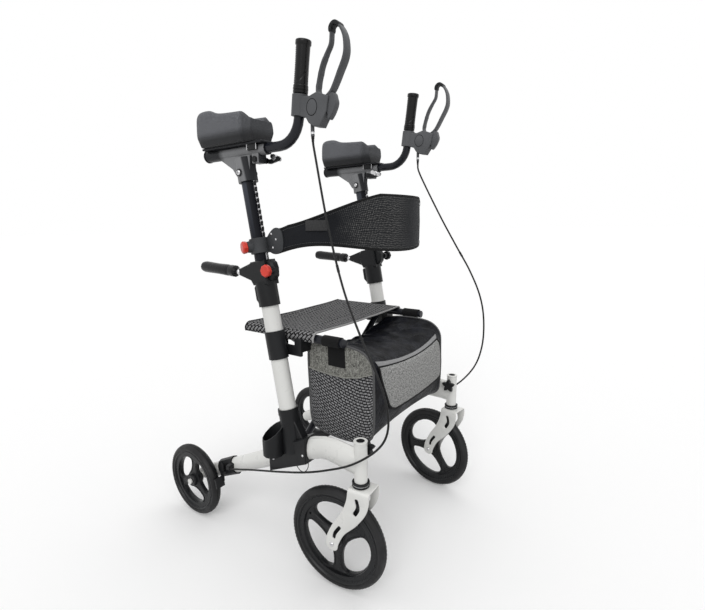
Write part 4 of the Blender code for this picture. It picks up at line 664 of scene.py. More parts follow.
def make_camera():
    yaw, pitch, roll = (math.radians(a) for a in CAMERA_TURN)
    ahead = Vector((-math.sin(yaw) * math.cos(pitch), math.cos(yaw) * math.cos(pitch), -math.sin(pitch)))
    level = ahead.cross(Vector((0, 0, 1))).normalized()
    upright = level.cross(ahead)
    right = math.cos(roll) * level + math.sin(roll) * upright
    up = math.cos(roll) * upright - math.sin(roll) * level
    camera = bpy.data.objects.new("camera", bpy.data.cameras.new("camera"))
    camera.data.sensor_width = SENSOR
    camera.data.sensor_fit = "HORIZONTAL"
    camera.data.lens = LENS
    camera.data.clip_start = 0.01
    bpy.context.scene.collection.objects.link(camera)
    columns = (right, up, -ahead, Vector(CAMERA_PLACE))
    camera.matrix_world = Matrix([[c[i] for c in columns] for i in range(3)] + [[0, 0, 0, 1]])
    bpy.context.scene.camera = camera


def sun(name, way, strength, softness):
    light = bpy.data.lights.new(name, "SUN")
    light.energy = strength
    light.angle = math.radians(softness)
    made = bpy.data.objects.new(name, light)
    made.rotation_euler = Vector(way).to_track_quat("-Z", "Y").to_euler()
    bpy.context.scene.collection.objects.link(made)


def seen_rays(tree):
    """1 for a ray from the camera, a mirror or clear glass, and 0 for one that lights a surface."""
    rays = tree.nodes.new("ShaderNodeLightPath")
    seen = rays.outputs["Is Camera Ray"]
    for ray in ("Is Glossy Ray", "Is Transmission Ray"):
        either = tree.nodes.new("ShaderNodeMath")
        either.operation = "MAXIMUM"
        tree.links.new(seen, either.inputs[0])
        tree.links.new(rays.outputs[ray], either.inputs[1])
        seen = either.outputs[0]
    return seen


def make_stage():
    """A pale floor that keeps the shadow, a white world to look at, and plain soft light."""
    bpy.context.scene.view_settings.view_transform = "Standard"
    mesh = bpy.data.meshes.new("floor")
    mesh.from_pydata([(-60, -60, 0), (60, -60, 0), (60, 60, 0), (-60, 60, 0)], [], [(0, 1, 2, 3)])
    floor = bpy.data.objects.new("floor", mesh)
    bpy.context.scene.collection.objects.link(floor)
    look = Look("floor_paint", FLOOR_SEEN, 0.9, Specular_IOR_Level=0.0)
    bounce = look.mix(look.between(look.noise(3, 2), 0.3, 0.7), FLOOR_BOUNCE, shade(FLOOR_BOUNCE, 1.04))
    look.paint(look.mix(seen_rays(look.tree), bounce, FLOOR_SEEN))
    mesh.materials.append(look.material)
    surroundings = bpy.data.worlds.new("white")
    bpy.context.scene.world = surroundings
    surroundings.use_nodes = True
    tree = surroundings.node_tree
    background = tree.nodes["Background"]
    background.inputs["Color"].default_value = (1, 1, 1, 1)
    strength = tree.nodes.new("ShaderNodeMapRange")
    strength.inputs["To Min"].default_value = WORLD_LIGHT
    strength.inputs["To Max"].default_value = 1.0
    tree.links.new(seen_rays(tree), strength.inputs["Value"])
    tree.links.new(strength.outputs[0], background.inputs["Strength"])
    sun("key", (0.72, 0.35, -0.60), 1.12, 40)
    sun("top", (-0.15, 0.10, -1.0), 0.42, 70)


# Wheels

HEAD_OUT = 0.013
FRONT_R = 0.131
REAR_R = 0.110
TYRE_DEPTH = 0.019
RIM_BAND = 0.017
SPOKE_WIDTH = 0.024
WEB_HALF = 0.0055
WINDOW_LOW = 0.027
FRONT_TURN = {"R": math.radians(88), "L": math.radians(52)}
REAR_TURN = math.radians(37)
VALVE_SPOKE = {"R": 2, "L": 1}
REAR_OUT = 0.041
REAR_AXLE = (0.601, REAR_R - DATUM_Z)
CASTER_AXLE = (0.066, FRONT_R - DATUM_Z)
CASTER_YAW = {"R": math.radians(4.8), "L": math.radians(-8.3)}
TREAD_BAND = (0.006, 0.0125)
TREAD_CUT = 0.0011
# How far each point of the tyre's half section lies inside the tread, and how far from the middle
TYRE_SECTION = (
    (0.0002, 0.0), (0.0004, 0.0018), (0.0018, 0.0022), (0.0018, 0.003), (0.0006, 0.0034), (0.0012, 0.0066),
    (0.003, 0.0096), (0.005, 0.012), (0.008, 0.0138), (0.012, 0.0143), (0.015, 0.0137), (0.0152, 0.0128),
    (0.0188, 0.0124),
)
# How far each point of the lip lies beyond the rim's edge or the windows' edge, and how far from the middle
RIM_LIP = (
    (0.0016, 0.0122), (0.0014, 0.0134), (-0.001, 0.0138), (-0.003, 0.0122), (-0.0042, 0.0098),
    (-0.008, 0.0092),
)
WINDOW_LIP = ((0.004, 0.01), (0.0008, 0.0092), (0.0, 0.007))
# Places along the axle and radii: the hub's foot from the wheel's middle, and its end from the hub's own end
HUB_FOOT = ((0.002, 0.0235), (0.006, 0.0225), (0.0068, 0.019))
HUB_END = ((-0.002, 0.018), (0.0, 0.0165), (0.0001, 0.0105), (-0.0016, 0.0098), (-0.0016, 0.005))


def caster_place(side):
    """Like side_place, but turned with the caster about its stem."""
    stem = at(side, HEAD_OUT, 0, 0)
    turn = Matrix.Translation(stem) @ Matrix.Rotation(CASTER_YAW[side], 4, "Z") @ Matrix.Translation(-stem)
    return lambda a, b, c: turn @ at(side, c, a, b)


def wheel_window(centre, high, turn):
    """A rounded three-sided opening between two spokes."""
    outline = []
    for angle in angles(48):
        along = math.copysign(abs(math.cos(angle)) ** 0.62, math.cos(angle))
        aside = math.copysign(abs(math.sin(angle)) ** 0.62, math.sin(angle))
        reach = (WINDOW_LOW + high) / 2 + (high - WINDOW_LOW) / 2 * along
        spread = math.pi / 3 - math.asin(SPOKE_WIDTH / 2 / reach)
        outline.append(off(centre, reach, turn + spread * aside))
    return outline


def wheel_ring(profile, centre, out, place, steps=96, tread_r=None):
    """Turns a closed profile of (radius, out) points about a wheel's axle, with grooves above tread_r."""
    rings = []
    for i, angle in enumerate(angles(steps)):
        ring = []
        for radius, across in profile:
            if tread_r and i % 2 and TREAD_BAND[0] < abs(across) < TREAD_BAND[1] and radius > tread_r:
                radius -= TREAD_CUT
            ring.append(place(*off(centre, radius, angle), out + across))
        rings.append(ring)
    return skin(rings, closed=True)


def make_wheel(kind, side, place, centre, radius, out, turn, hub_half):
    """A grooved tyre, and a rim with three windows, raised lines round them and a hub on each side."""
    body = f"{WORD[side]}_{kind}_wheel"
    rim_r = radius - TYRE_DEPTH
    window_r = rim_r - RIM_BAND
    half = [(radius - depth, x) for depth, x in TYRE_SECTION]
    profile = half + [(r, -x) for r, x in reversed(half[1:])]
    tread = wheel_ring(profile, centre, out, place, 168, radius - 0.0055)
    piece(f"{kind}_tread_{side}", tread, TYRE, body, smooth=34, replaces=f"{kind}_tyre_{side}")
    lip = [(edge + r, x) for edge, rows in ((rim_r, RIM_LIP), (window_r, WINDOW_LIP)) for r, x in rows]
    rim = wheel_ring([*lip, *[(r, -x) for r, x in reversed(lip)]], centre, out, place)
    windows = [wheel_window(centre, window_r - 0.001, turn + 2 * math.pi * i / 3) for i in range(3)]
    holes = list(windows)
    if kind == "front":
        valve = off(centre, window_r - 0.008, turn + math.pi / 3 + 2 * math.pi * VALVE_SPOKE[side] / 3)
        holes.append([off(valve, 0.0034, a) for a in angles(12)])
    disc = [off(centre, window_r + 0.004, a) for a in angles(96)]
    plate(disc, out - WEB_HALF, out + WEB_HALF, place, 0.0014, holes, rim)
    for window in windows:
        loop = counterclockwise(window)
        for way in (-1, 1):
            line = [place(*(p + n * 0.004), out + way * WEB_HALF) for p, n in zip(loop, outward(loop))]
            sweep(line, oblong(0.0022, 0.003, 0.0008, 1), place(0, 0, 1) - place(0, 0, 0), True, rim)
    stations = [*HUB_FOOT, *[(hub_half + past, r) for past, r in HUB_END]]
    for way in (-1, 1):
        lathe(stations, place(*centre, out), place(*centre, out + way) - place(*centre, out), 36, rim)
    piece(f"{kind}_wheel_rim_{side}", rim, RIM, body, smooth=34, replaces=f"{kind}_rim_{side}")


# Caster forks

FORK_OUTLINE = (
    (-0.0335, 0.28), (-0.0335, 0.26), (-0.025, 0.231), (0.0, 0.195), (0.031, 0.162), (0.048, 0.13),
    (0.052, 0.114), (0.062, 0.108), (0.074, 0.109), (0.082, 0.119), (0.081, 0.137), (0.076, 0.153),
    (0.061, 0.183), (0.037, 0.221), (0.024, 0.254), (0.0205, 0.28),
)
FORK_SLOTS = (
    (0.0105, ((-0.003, 0.26), (-0.006, 0.242), (0.002, 0.225))),
    (0.0085, ((0.044, 0.176), (0.056, 0.158), (0.06, 0.145))),
)
FORK_HALF = 0.0275
FORK_SHEET = 0.0035
FORK_BEND = 0.0075
FORK_ROUND = 0.0007
CROWN_TOP = 0.2835
STEM_R = 0.009
STEM_LONG = 0.0985
# Heights over the crown and radii of the stem's bearing and of the bright race in it
BEARING = (
    (0.0004, 0.019), (0.0012, 0.0204), (0.0046, 0.0204), (0.0052, 0.0192), (0.0066, 0.0186), (0.007, 0.0198),
    (0.0108, 0.0206), (0.0116, 0.0196), (0.0117, 0.01),
)
RACE = ((0.0056, 0.018), (0.0057, 0.0197), (0.0066, 0.0197), (0.0067, 0.018))
# The crown's front and rear edge in y, and whether a point there is drawn in by the rounding
CROWN_EDGE = ((-0.0335, 1), (-0.0328, 0), (0.0198, 0), (0.0205, 1))


def flat_line(points, step):
    return [p.xy for p in smooth_line([(*p, 0) for p in points], step)]


def make_fork(side):
    """A bent steel strap with cut-outs: two legs, rounded shoulders and a flat crown."""
    place = caster_place(side)
    body = f"{WORD[side]}_caster"
    top = CROWN_TOP - FORK_BEND
    legs = [(y, z) for y, z in flat_line(FORK_OUTLINE, 0.006) if z < top]
    legs = [(FORK_OUTLINE[0][0], top), *legs, (FORK_OUTLINE[-1][0], top)]
    slots = [ribbon(flat_line(points, 0.003), width) for width, points in FORK_SLOTS]
    bm = bmesh.new()
    for way in (-1, 1):
        low, high = sorted((HEAD_OUT + way * FORK_HALF, HEAD_OUT + way * FORK_HALF - way * FORK_SHEET))
        plate(legs, low, high, place, FORK_ROUND, slots, bm)
    rows = []
    for way in (-1, 1):
        for i in range(9):
            angle = math.pi / 2 * (i / 8 if way < 0 else 1 - i / 8)
            nx, nz = way * math.cos(angle), math.sin(angle)
            x = HEAD_OUT + way * (FORK_HALF - FORK_BEND + FORK_BEND * math.cos(angle))
            z = top + FORK_BEND * nz
            depths = [(y, FORK_ROUND * inset) for y, inset in CROWN_EDGE]
            depths += [(y, FORK_SHEET - FORK_ROUND * inset) for y, inset in reversed(CROWN_EDGE)]
            rows.append([place(y, z - nz * depth, x - nx * depth) for y, depth in depths])
    skin(rows, bm=bm)
    crown = place(0, CROWN_TOP, HEAD_OUT)
    up = (0, 0, 1)
    lathe([(-0.004, STEM_R), (STEM_LONG, STEM_R)], crown, up, 24, bm)
    lathe([(-0.004, 0.0175), (0.0006, 0.0175), (0.0012, 0.0165)], crown, up, 32, bm)
    piece(f"fork_strap_{side}", bm, WHITE, body, smooth=35, replaces=f"caster_fork_{side}")
    piece(f"bearing_{side}", lathe(BEARING, crown, up, 40), BLACK, body, smooth=30)
    piece(f"bearing_race_{side}", lathe(RACE, crown, up, 40), STEEL_ALONG, body)
    for way, name in reversed(FACES):
        axis = place(0, 0, way) - place(0, 0, 0)
        bolt = place(*CASTER_AXLE, HEAD_OUT + way * (FORK_HALF + 0.0001))
        screw(f"axle_bolt_{name}_{side}", bolt, axis, 0.0056, body)
        ends = [place(*CASTER_AXLE, HEAD_OUT + way * reach) for reach in (0.021, FORK_HALF - FORK_SHEET)]
        rod(f"axle_sleeve_{name}_{side}", *ends, 0.0078, STEEL_ALONG, body)


# Forearm rests

PAD_WALL = 0.013
PAD_LOW = 0.018
PAD_STEP_Y = 0.3055
# y, half width, top of the walls, and how far the floor dips
PAD_STATIONS = (
    (0.278, 0.035, 1.1105, 0.004), (0.2784, 0.0368, 1.1125, 0.003), (0.2805, 0.038, 1.1132, 0.0015),
    (0.285, 0.0388, 1.1145, 0.0), (0.29, 0.0396, 1.1185, 0.0), (0.296, 0.0414, 1.1238, 0.0),
    (0.302, 0.0424, 1.128, 0.0), (0.305, 0.0455, 1.129, 0.0), (0.3085, 0.0463, 1.1292, 0.0),
    (0.345, 0.0463, 1.131, 0.0), (0.385, 0.0463, 1.1338, 0.0), (0.4, 0.0463, 1.14, 0.0),
    (0.412, 0.0463, 1.145, 0.0), (0.43, 0.0463, 1.1462, 0.0), (0.445, 0.0462, 1.1458, 0.0),
    (0.457, 0.0455, 1.1435, 0.0005), (0.464, 0.044, 1.138, 0.002), (0.4665, 0.0415, 1.128, 0.0045),
)


def pad_section(side, y, edge, top, dip):
    """The pad's closed section at y: from its underside over one wall to its hollow, then the same back."""
    inner = edge - PAD_WALL
    base = PAD_BASE
    floor = base + 0.020 - dip
    outer = [
        (edge - 0.02, base), (edge - 0.0112, base), (edge - 0.0094, base + 0.002),
        (edge - 0.002, base + PAD_LOW), (edge - 0.0006, base + 0.0208), (edge, base + 0.0235),
        (edge + 0.0004, (base + top) / 2),
        (edge - 0.0008, top - 0.013), (edge - 0.0022, top - 0.0055), (edge - 0.0048, top - 0.0015),
        (edge - PAD_WALL * 0.55, top), (inner + 0.0035, top - 0.0015), (inner + 0.0012, top - 0.006),
    ]
    hollow = [
        (inner - 0.0005, top - 0.015), (inner - 0.0035, floor + 0.018), (inner - 0.0085, floor + 0.006),
        (inner - 0.017, floor),
    ]
    half = outer + [(x, max(z, floor)) for x, z in hollow]
    return [at(side, x, y, z) for x, z in half + [(-x, z) for x, z in reversed(half)]]


def pad_crease(a, b):
    """How sharp an edge is: most along the pad's lower bevel, less round the step before its high walls."""
    low = PAD_BASE + DATUM_Z + PAD_LOW
    step = PAD_STEP_Y - MIDDLE_Y
    near = 0.0002
    if all(abs(p.z - low) < near for p in (a, b)):
        return 0.75
    walls = [abs(abs(p.x) - SIDE_X) > 0.034 and p.z > low - 0.02 for p in (a, b)]
    return 0.55 if all(walls) and all(abs(p.y - step) < near for p in (a, b)) else 0.0


def make_pad(side):
    rings = [pad_section(side, *station) for station in PAD_STATIONS]
    bm = skin(rings, caps=False)
    bm.verts.ensure_lookup_table()
    count = len(rings[0])
    for first in (0, (len(rings) - 1) * count):
        row = [bm.verts[first + i] for i in range(count)]
        for i in range(count // 2 - 1):
            bm.faces.new((row[i], row[i + 1], row[count - 2 - i], row[count - 1 - i]))
    pad = piece(f"forearm_pad_{side}", bm, FOAM, f"{WORD[side]}_arm", subdivide=2, replaces=f"arm_pad_{side}")
    crease = pad.data.attributes.new("crease_edge", "FLOAT", "EDGE")
    for edge in pad.data.edges:
        crease.data[edge.index].value = pad_crease(*(pad.data.vertices[v].co for v in edge.vertices))


# Masts

RACK_H = (0.335, 0.656)
RACK_FRONT = -0.0206
TEETH = 11
TOOTH_START = 0.5035
TOOTH_PITCH = 0.0139
TOOTH = ((-0.0196, 0.0), (-0.0222, 0.0008), (-0.0237, 0.0085), (-0.0232, 0.0108), (-0.02, 0.0088))
PLATE_SHAPE = (
    (0.235, 0.814), (0.233, 0.833), (0.236, 0.852), (0.246, 0.863), (0.26, 0.8645), (0.274, 0.856),
    (0.286, 0.843), (0.292, 0.828), (0.289, 0.814), (0.277, 0.805), (0.262, 0.801), (0.245, 0.804),
)
PLATE_OUT = (-0.0098, -0.0062)
RIVETS = ((0.2715, 0.85), (0.2565, 0.837), (0.2675, 0.817))
RING_H = (0.480, 0.517)
RING_R = (0.0183, 0.0232, 0.0238)
BOSS_TURN = math.radians(25)
SLEEVE_SCREW_H = 0.677
SLEEVE_OUT = 0.0246
WASHER = ((0.0, 0.0088), (0.0016, 0.0086), (0.002, 0.0078))
CLIP_OUT = (0.014, 0.0215)
TUNNEL_END = (0.477, 1.048)
CLIP = ((0.2795, 1.045), (0.2795, 1.064), (0.282, 1.0665), (0.308, 1.0665), (0.3105, 1.064), (0.3105, 1.045))
TUNNEL_CAP = (
    (0.009, 0.0), (0.0158, 0.0), (0.0163, 0.0006), (0.0163, 0.0036), (0.0156, 0.0044), (0.009, 0.0044),
)
NUT_AT = (0.262, 1.029)
WING = (
    (0.003, -0.0045), (0.012, -0.0062), (0.0175, -0.004), (0.0185, 0.0012), (0.015, 0.0052), (0.003, 0.0045),
)


def make_rack(side):
    """The bright toothed strip down the front of the height tube, and the dark teeth that stand out of it."""
    body = f"{WORD[side]}_arm"
    place = lambda back, h, across: mast(side, h, back, across)
    low, high = RACK_H
    strip = ((-0.0165, low), (-0.019, low), (RACK_FRONT, 0.352), (RACK_FRONT, high), (-0.0165, high))
    piece(f"rack_strip_{side}", plate(strip, -0.0026, 0.0026, place, 0.0004), STEEL, body, smooth=30)
    bm = bmesh.new()
    for i in range(TEETH):
        h = TOOTH_START + TOOTH_PITCH * i
        plate([(back, h + up) for back, up in TOOTH], -0.0031, 0.0031, place, 0.0004, bm=bm)
    piece(f"rack_teeth_{side}", bm, BLACK, body, smooth=30)


def make_backrest_clamp(side):
    """A ring on the height tube with a boss for its knob, and the oval plate that holds the band."""
    body = f"{WORD[side]}_backrest_ring"
    place = side_place(side)
    low, high = RING_H
    bore, edge, rim = RING_R
    tall = high - low
    foot = [(bore, 0.0003), (edge, 0.0), (rim, 0.0006)]
    profile = foot + [(r, tall - h) for r, h in reversed(foot)]
    bm = turned_ring(profile, mast(side, low), (mast(side, high) - mast(side, low)).normalized())
    out = (mast(side, 0, math.sin(BOSS_TURN), math.cos(BOSS_TURN)) - mast(side, 0)).normalized()
    boss = [(0.0195, 0.015), (0.0225, 0.015), (0.0285, 0.014), (0.0322, 0.0132), (0.033, 0.012)]
    lathe(boss, mast(side, (low + high) / 2), out, 32, bm)
    plate(round_outline(PLATE_SHAPE, 4), *PLATE_OUT, place, 0.001, bm=bm)
    bridge = ((0.276, 0.806), (0.306, 0.808), (0.308, 0.84), (0.28, 0.842))
    plate(bridge, PLATE_OUT[0] + 0.0002, PLATE_OUT[1] - 0.0004, place, 0.0008, bm=bm)
    piece(f"backrest_ring_{side}", bm, PLATE_GREY, body, smooth=36, replaces=f"backrest_clamp_{side}")
    dome = [(-0.0004, 0.003), (0.00056, 0.003), (0.00112, 0.00216), (0.0014, 0.0009)]
    for i, (y, z) in enumerate(RIVETS):
        for (way, name), level in zip(FACES, reversed(PLATE_OUT)):
            rivet = lathe(dome, at(side, level, y, z), (way * SIGN[side], 0, 0), 20)
            piece(f"rivet_{i}_{name}_{side}", rivet, STEEL, body, smooth=60)


def make_arm_details(side):
    """Cross-head screws through the sleeve, clips by the tunnel, its end cap and the wing nut."""
    body = f"{WORD[side]}_arm"
    place = side_place(side)
    for way, name in FACES:
        seat = mast(side, SLEEVE_SCREW_H, 0, way * SLEEVE_OUT)
        axis = (way * SIGN[side], 0, 0)
        piece(f"sleeve_washer_{name}_{side}", lathe(WASHER, seat, axis, 28), BLACK, body)
        screw(f"sleeve_screw_{name}_{side}", seat + Vector(axis) * 0.0018, axis, 0.006, body)
    for way, name in FACES:
        low, high = sorted(way * out for out in CLIP_OUT)
        piece(f"bar_clip_{name}_{side}", plate(CLIP, low, high, place, 0.0012), BLACK, body, smooth=30)
        rim = sweep([at(side, way * CLIP_OUT[1], y, z) for y, z in CLIP], circle(0.0011, 8))
        piece(f"bar_clip_rim_{name}_{side}", rim, STEEL, body)
    cap = turned_ring(TUNNEL_CAP, at(side, 0, *TUNNEL_END), (0, 1, 0), 40)
    piece(f"tunnel_cap_{side}", cap, BLACK, body)
    hub = at(side, -0.02, *NUT_AT)
    bm = lathe([(-0.004, 0.0075), (0.007, 0.0068), (0.0078, 0.0058)], hub, (-SIGN[side], 0, 0), 24)
    for angle in (0.35, 0.35 + math.pi):
        cos, sin = math.cos(angle), math.sin(angle)
        turned = [(NUT_AT[0] + a * cos - b * sin, NUT_AT[1] + a * sin + b * cos) for a, b in WING]
        plate(round_outline(turned, 3), -0.0262, -0.0228, place, 0.0012, bm=bm)
    piece(f"wing_nut_{side}", bm, STEEL, body)


# y, z, distance out and radius of the screws in a frame joint
JOINT_SCREWS = ((0.273, 0.268, 0.0215, 0.0042), (0.17, 0.307, 0.0205, 0.0036))
JOINT_WIRE = (
    (0.014, 0.199, 0.279), (0.015, 0.195, 0.268), (0.0155, 0.182, 0.259), (0.015, 0.168, 0.262),
    (0.014, 0.159, 0.276), (0.0135, 0.158, 0.29),
)
# Radii and heights of the rim on the head tube, and places along the side handle's stem with their radii
HEAD_RIM = (
    (0.0095, -0.0004), (0.016, -0.0004), (0.0163, 0.0004), (0.0163, 0.0016), (0.0158, 0.0022),
    (0.0098, 0.0022),
)
STEM = (
    (-0.001, 0.004), (0.0015, 0.0074), (0.006, 0.0086), (0.011, 0.0074), (0.013, 0.0062), (0.0178, 0.0062),
)
HEAD_TOP = 0.392
HANDLE_AT = (0.4435, 0.085)
HANDLE_RISE = math.radians(3)


def make_frame_details(side):
    """Rims round the open head tube, a dark disc in it as painted shade, and small bright fasteners on the
    frame.
    """
    body = f"{WORD[side]}_side"
    top = at(side, HEAD_OUT, 0, HEAD_TOP)
    piece(f"head_rim_{side}", turned_ring(HEAD_RIM, top, (0, 0, 1), 48), WHITE, body)
    # A dark disc under the rim: painted shade for the tube's open top
    piece(f"head_hole_shade_{side}", lathe([(0, 0.0099), (0.0019, 0.0099)], top, (0, 0, 1), 36), RECESS_SHADE, body)
    for i, (y, z, out, radius) in enumerate(JOINT_SCREWS):
        for way, name in FACES:
            axis = (way * SIGN[side], 0, 0)
            screw(f"joint_screw_{i}_{name}_{side}", at(side, way * out, y, z), axis, radius, body)
    wire = sweep(smooth_line([at(side, *p) for p in JOINT_WIRE], 0.003), circle(0.001, 10))
    piece(f"joint_wire_{side}", wire, BLACK, body)
    rise = (0, math.cos(HANDLE_RISE), math.sin(HANDLE_RISE))
    stem = lathe(STEM, mast(side, *HANDLE_AT), rise, 28)
    piece(f"side_handle_stem_{side}", stem, STEEL_ALONG, body, smooth=60)
    screw(f"rear_bolt_{side}", at(side, REAR_OUT + 0.0165, *REAR_AXLE), (SIGN[side], 0, 0), 0.0062, body)


# Grips, housings and levers

BAR_BEND = (0.1697, 1.048)
BAR_LEAN = math.radians(7.6)
GRIP_Z = (1.148, 1.251)
RIB_PITCH = 0.0042
# Places along the grip and radii: its ringed foot from the start, and its rounded end from the tip
GRIP_FOOT = (
    (0.0, 0.015), (0.0006, 0.0162), (0.005, 0.0166), (0.0056, 0.0158), (0.0066, 0.0158), (0.0072, 0.0166),
    (0.0115, 0.0166), (0.0121, 0.0158), (0.0131, 0.0158), (0.0138, 0.0164), (0.0165, 0.016), (0.0172, 0.015),
)
GRIP_END = (
    (0.011, 0.0156), (0.01, 0.0166), (0.0088, 0.017), (0.003, 0.017), (0.0012, 0.0165), (0.0004, 0.015),
    (0.0, 0.0125), (0.0, 0.006),
)
LEVER_LOOP = (
    (0.08, 1.131), (0.068, 1.139), (0.058, 1.153), (0.047, 1.172), (0.037, 1.189), (0.032, 1.203),
    (0.0315, 1.218), (0.0345, 1.235), (0.043, 1.251), (0.056, 1.262), (0.0665, 1.257), (0.0675, 1.242),
    (0.07, 1.226), (0.08, 1.211), (0.091, 1.193), (0.098, 1.175), (0.103, 1.158), (0.105, 1.144),
    (0.099, 1.134), (0.09, 1.129),
)
LEVER_NECK = (
    (0.064, 1.135), (0.059, 1.124), (0.0572, 1.113), (0.064, 1.098), (0.0745, 1.0855), (0.079, 1.087),
    (0.08, 1.098), (0.105, 1.109), (0.117, 1.113), (0.115, 1.132), (0.101, 1.135), (0.081, 1.133),
)
LEVER_HALF = 0.0078
LEVER_THICK = 0.0031
FRONT_SHARE = 0.46
NOTCHES = (0.66, 0.745, 0.815)
HOUSING_HALF = 0.0125
OVAL_AT = (0.1155, 1.113)
OVAL_SIZE = (0.014, 0.0165)


def bar_y(z):
    return BAR_BEND[0] - (z - BAR_BEND[1]) * math.tan(BAR_LEAN)


def make_grip(side):
    """A rubber grip: smooth and glossy outside, ribbed where the fingers close, with rings at its foot."""
    low, high = GRIP_Z
    start = at(side, 0, bar_y(low), low)
    way = at(side, 0, bar_y(high), high) - start
    length = way.length
    turn = rotation_to(way)
    across, over = turn @ Vector((1, 0, 0)), turn @ Vector((0, 1, 0))
    foot, tip = 0.0175, length - 0.0115
    stations = list(GRIP_FOOT)
    for share in [i / 74 for i in range(75)]:
        stations.append((foot + (tip - foot) * share, 0.0153 - 0.0004 * math.sin(math.pi * share)))
    stations += [(length - short, radius) for short, radius in GRIP_END]
    rings = []
    for distance, radius in stations:
        ring = []
        for angle in angles(56):
            out = across * math.cos(angle) + over * math.sin(angle)
            size = radius
            if foot < distance < tip:
                share = (distance - foot) / (tip - foot)
                rib = 0.5 + 0.5 * math.cos(2 * math.pi * distance / RIB_PITCH)
                size += 0.0012 * (max(0.0, out.y - 0.25) / 0.75) ** 0.5 * (rib - 0.35)
                vee = abs(share - (0.12 + 0.30 * (1 - abs(out.x) * 1.15)))
                size -= 0.0009 * max(0.0, 1 - vee / 0.035) * (out.y < 0.55)
            ring.append(start + way.normalized() * distance + out * size)
        rings.append(ring)
    body = f"{WORD[side]}_handle"
    piece(f"grip_sleeve_{side}", skin(rings), RUBBER, body, smooth=50, replaces=f"hand_grip_{side}")


def make_lever(side):
    """A moulded loop: a strap with rounded edges, notches on the inside and a dark pad over its top."""
    body = f"{WORD[side]}_brake_lever"
    path = round_outline(LEVER_LOOP, 6)
    count = len(path)
    line = [at(side, 0, y, z) for y, z in path]
    along_x = Vector((SIGN[side], 0, 0))
    rings = []
    for i, (point, (across, _)) in enumerate(zip(line, frames_along(line, along_x, closed=True))):
        share = i / count
        thick = LEVER_THICK - 0.0006 * math.sin(math.pi * i / count)
        width = LEVER_HALF
        if i < count * FRONT_SHARE:
            width *= 1 + 0.32 * math.sin(math.pi * i / count / FRONT_SHARE)
        else:
            thick += 0.0007 * max(0.0, *[1 - abs(share - spot) / 0.012 for spot in NOTCHES])
            width *= 0.84 if path[i][1] > 1.205 else 1.0
        rings.append([point + along_x * a + across * b for a, b in oblong(2 * width, 2 * thick, 0.0016, 3)])
    bm = skin(rings, closed=True)
    neck_half = LEVER_HALF - 0.0002
    plate(round_outline(LEVER_NECK, 3), -neck_half, neck_half, side_place(side), 0.0014, bm=bm)
    piece(f"lever_loop_{side}", bm, LEVER_GREY, body, replaces=f"brake_lever_{side}")
    pad_line = smooth_line([p for i, p in enumerate(line) if 0.40 < i / count < 0.535], 0.004)
    last = len(pad_line) - 1
    rings = []
    for i, (point, (across, _)) in enumerate(zip(pad_line, frames_along(pad_line, along_x))):
        wide, tall = (0.97, 0.75) if i in (0, last) else (1, 1)
        section = oblong(2 * 0.0088 * wide, 2 * 0.0042 * tall, 0.0022, 3)
        rings.append([point + along_x * a + across * b for a, b in section])
    piece(f"lever_pad_{side}", skin(rings), BLACK, body, smooth=45)


def make_housing_details(side):
    """An oval cap let into each cheek of the brake housing, with a dark line round it as painted shade in the
    groove.
    """
    body = f"{WORD[side]}_handle"
    for way, name in reversed(FACES):
        oval = [(OVAL_SIZE[0] * math.cos(a), OVAL_SIZE[1] * math.sin(a)) for a in angles(48)]
        level = way * (HOUSING_HALF + 0.0001)
        line = [at(side, level, OVAL_AT[0] + a, OVAL_AT[1] + b) for a, b in oval]
        groove = sweep(line, circle(0.00065, 6), Vector((1, 0, 0)), True)
        piece(f"oval_groove_shade_{name}_{side}", groove, RECESS_SHADE, body)
        inset = [(OVAL_AT[0] + a * 0.955, OVAL_AT[1] + b * 0.955) for a, b in oval]
        place = lambda a, b, c, way=way: at(side, way * c, a, b)
        cap = plate(inset, 0.008, HOUSING_HALF + 0.0004, place, 0.0004)
        piece(f"oval_cap_{name}_{side}", cap, CHARCOAL, body)


# Brake cables

CABLE_START = (0.246, 0.125, 1.063)
CABLE_HEAD = ((0.246, 0.125, 1.057), (0.246, 0.1248, 1.045))
CABLE_ROUTE = {
    "R": (
        (0.2465, 0.119, 1.015), (0.253, 0.084, 0.87), (0.26, 0.04, 0.735), (0.267, -0.012, 0.63),
        (0.275, -0.06, 0.55), (0.283, -0.085, 0.49), (0.287, -0.084, 0.44), (0.287, -0.054, 0.395),
        (0.286, 0.008, 0.345), (0.285, 0.08, 0.307), (0.281, 0.155, 0.274),
    ),
    "L": (
        (0.248, 0.117, 1.015), (0.26, 0.056, 0.895), (0.27, 0.006, 0.805), (0.28, -0.038, 0.727),
        (0.288, -0.07, 0.65), (0.293, -0.083, 0.575), (0.295, -0.08, 0.49), (0.293, -0.055, 0.415),
        (0.29, 0.005, 0.345), (0.287, 0.08, 0.307), (0.282, 0.155, 0.274),
    ),
}
CABLE_FOOT = ((0.278, 0.24, 0.245), (0.276, 0.34, 0.215), (0.275, 0.43, 0.187), (0.275, 0.444, 0.186))
CABLE_R = 0.0025
SPLIT_Z = 0.78
FERRULE = ((0.0, 0.0036), (0.01, 0.0036), (0.0108, 0.003), (0.015, 0.003), (0.018, 0.0024))


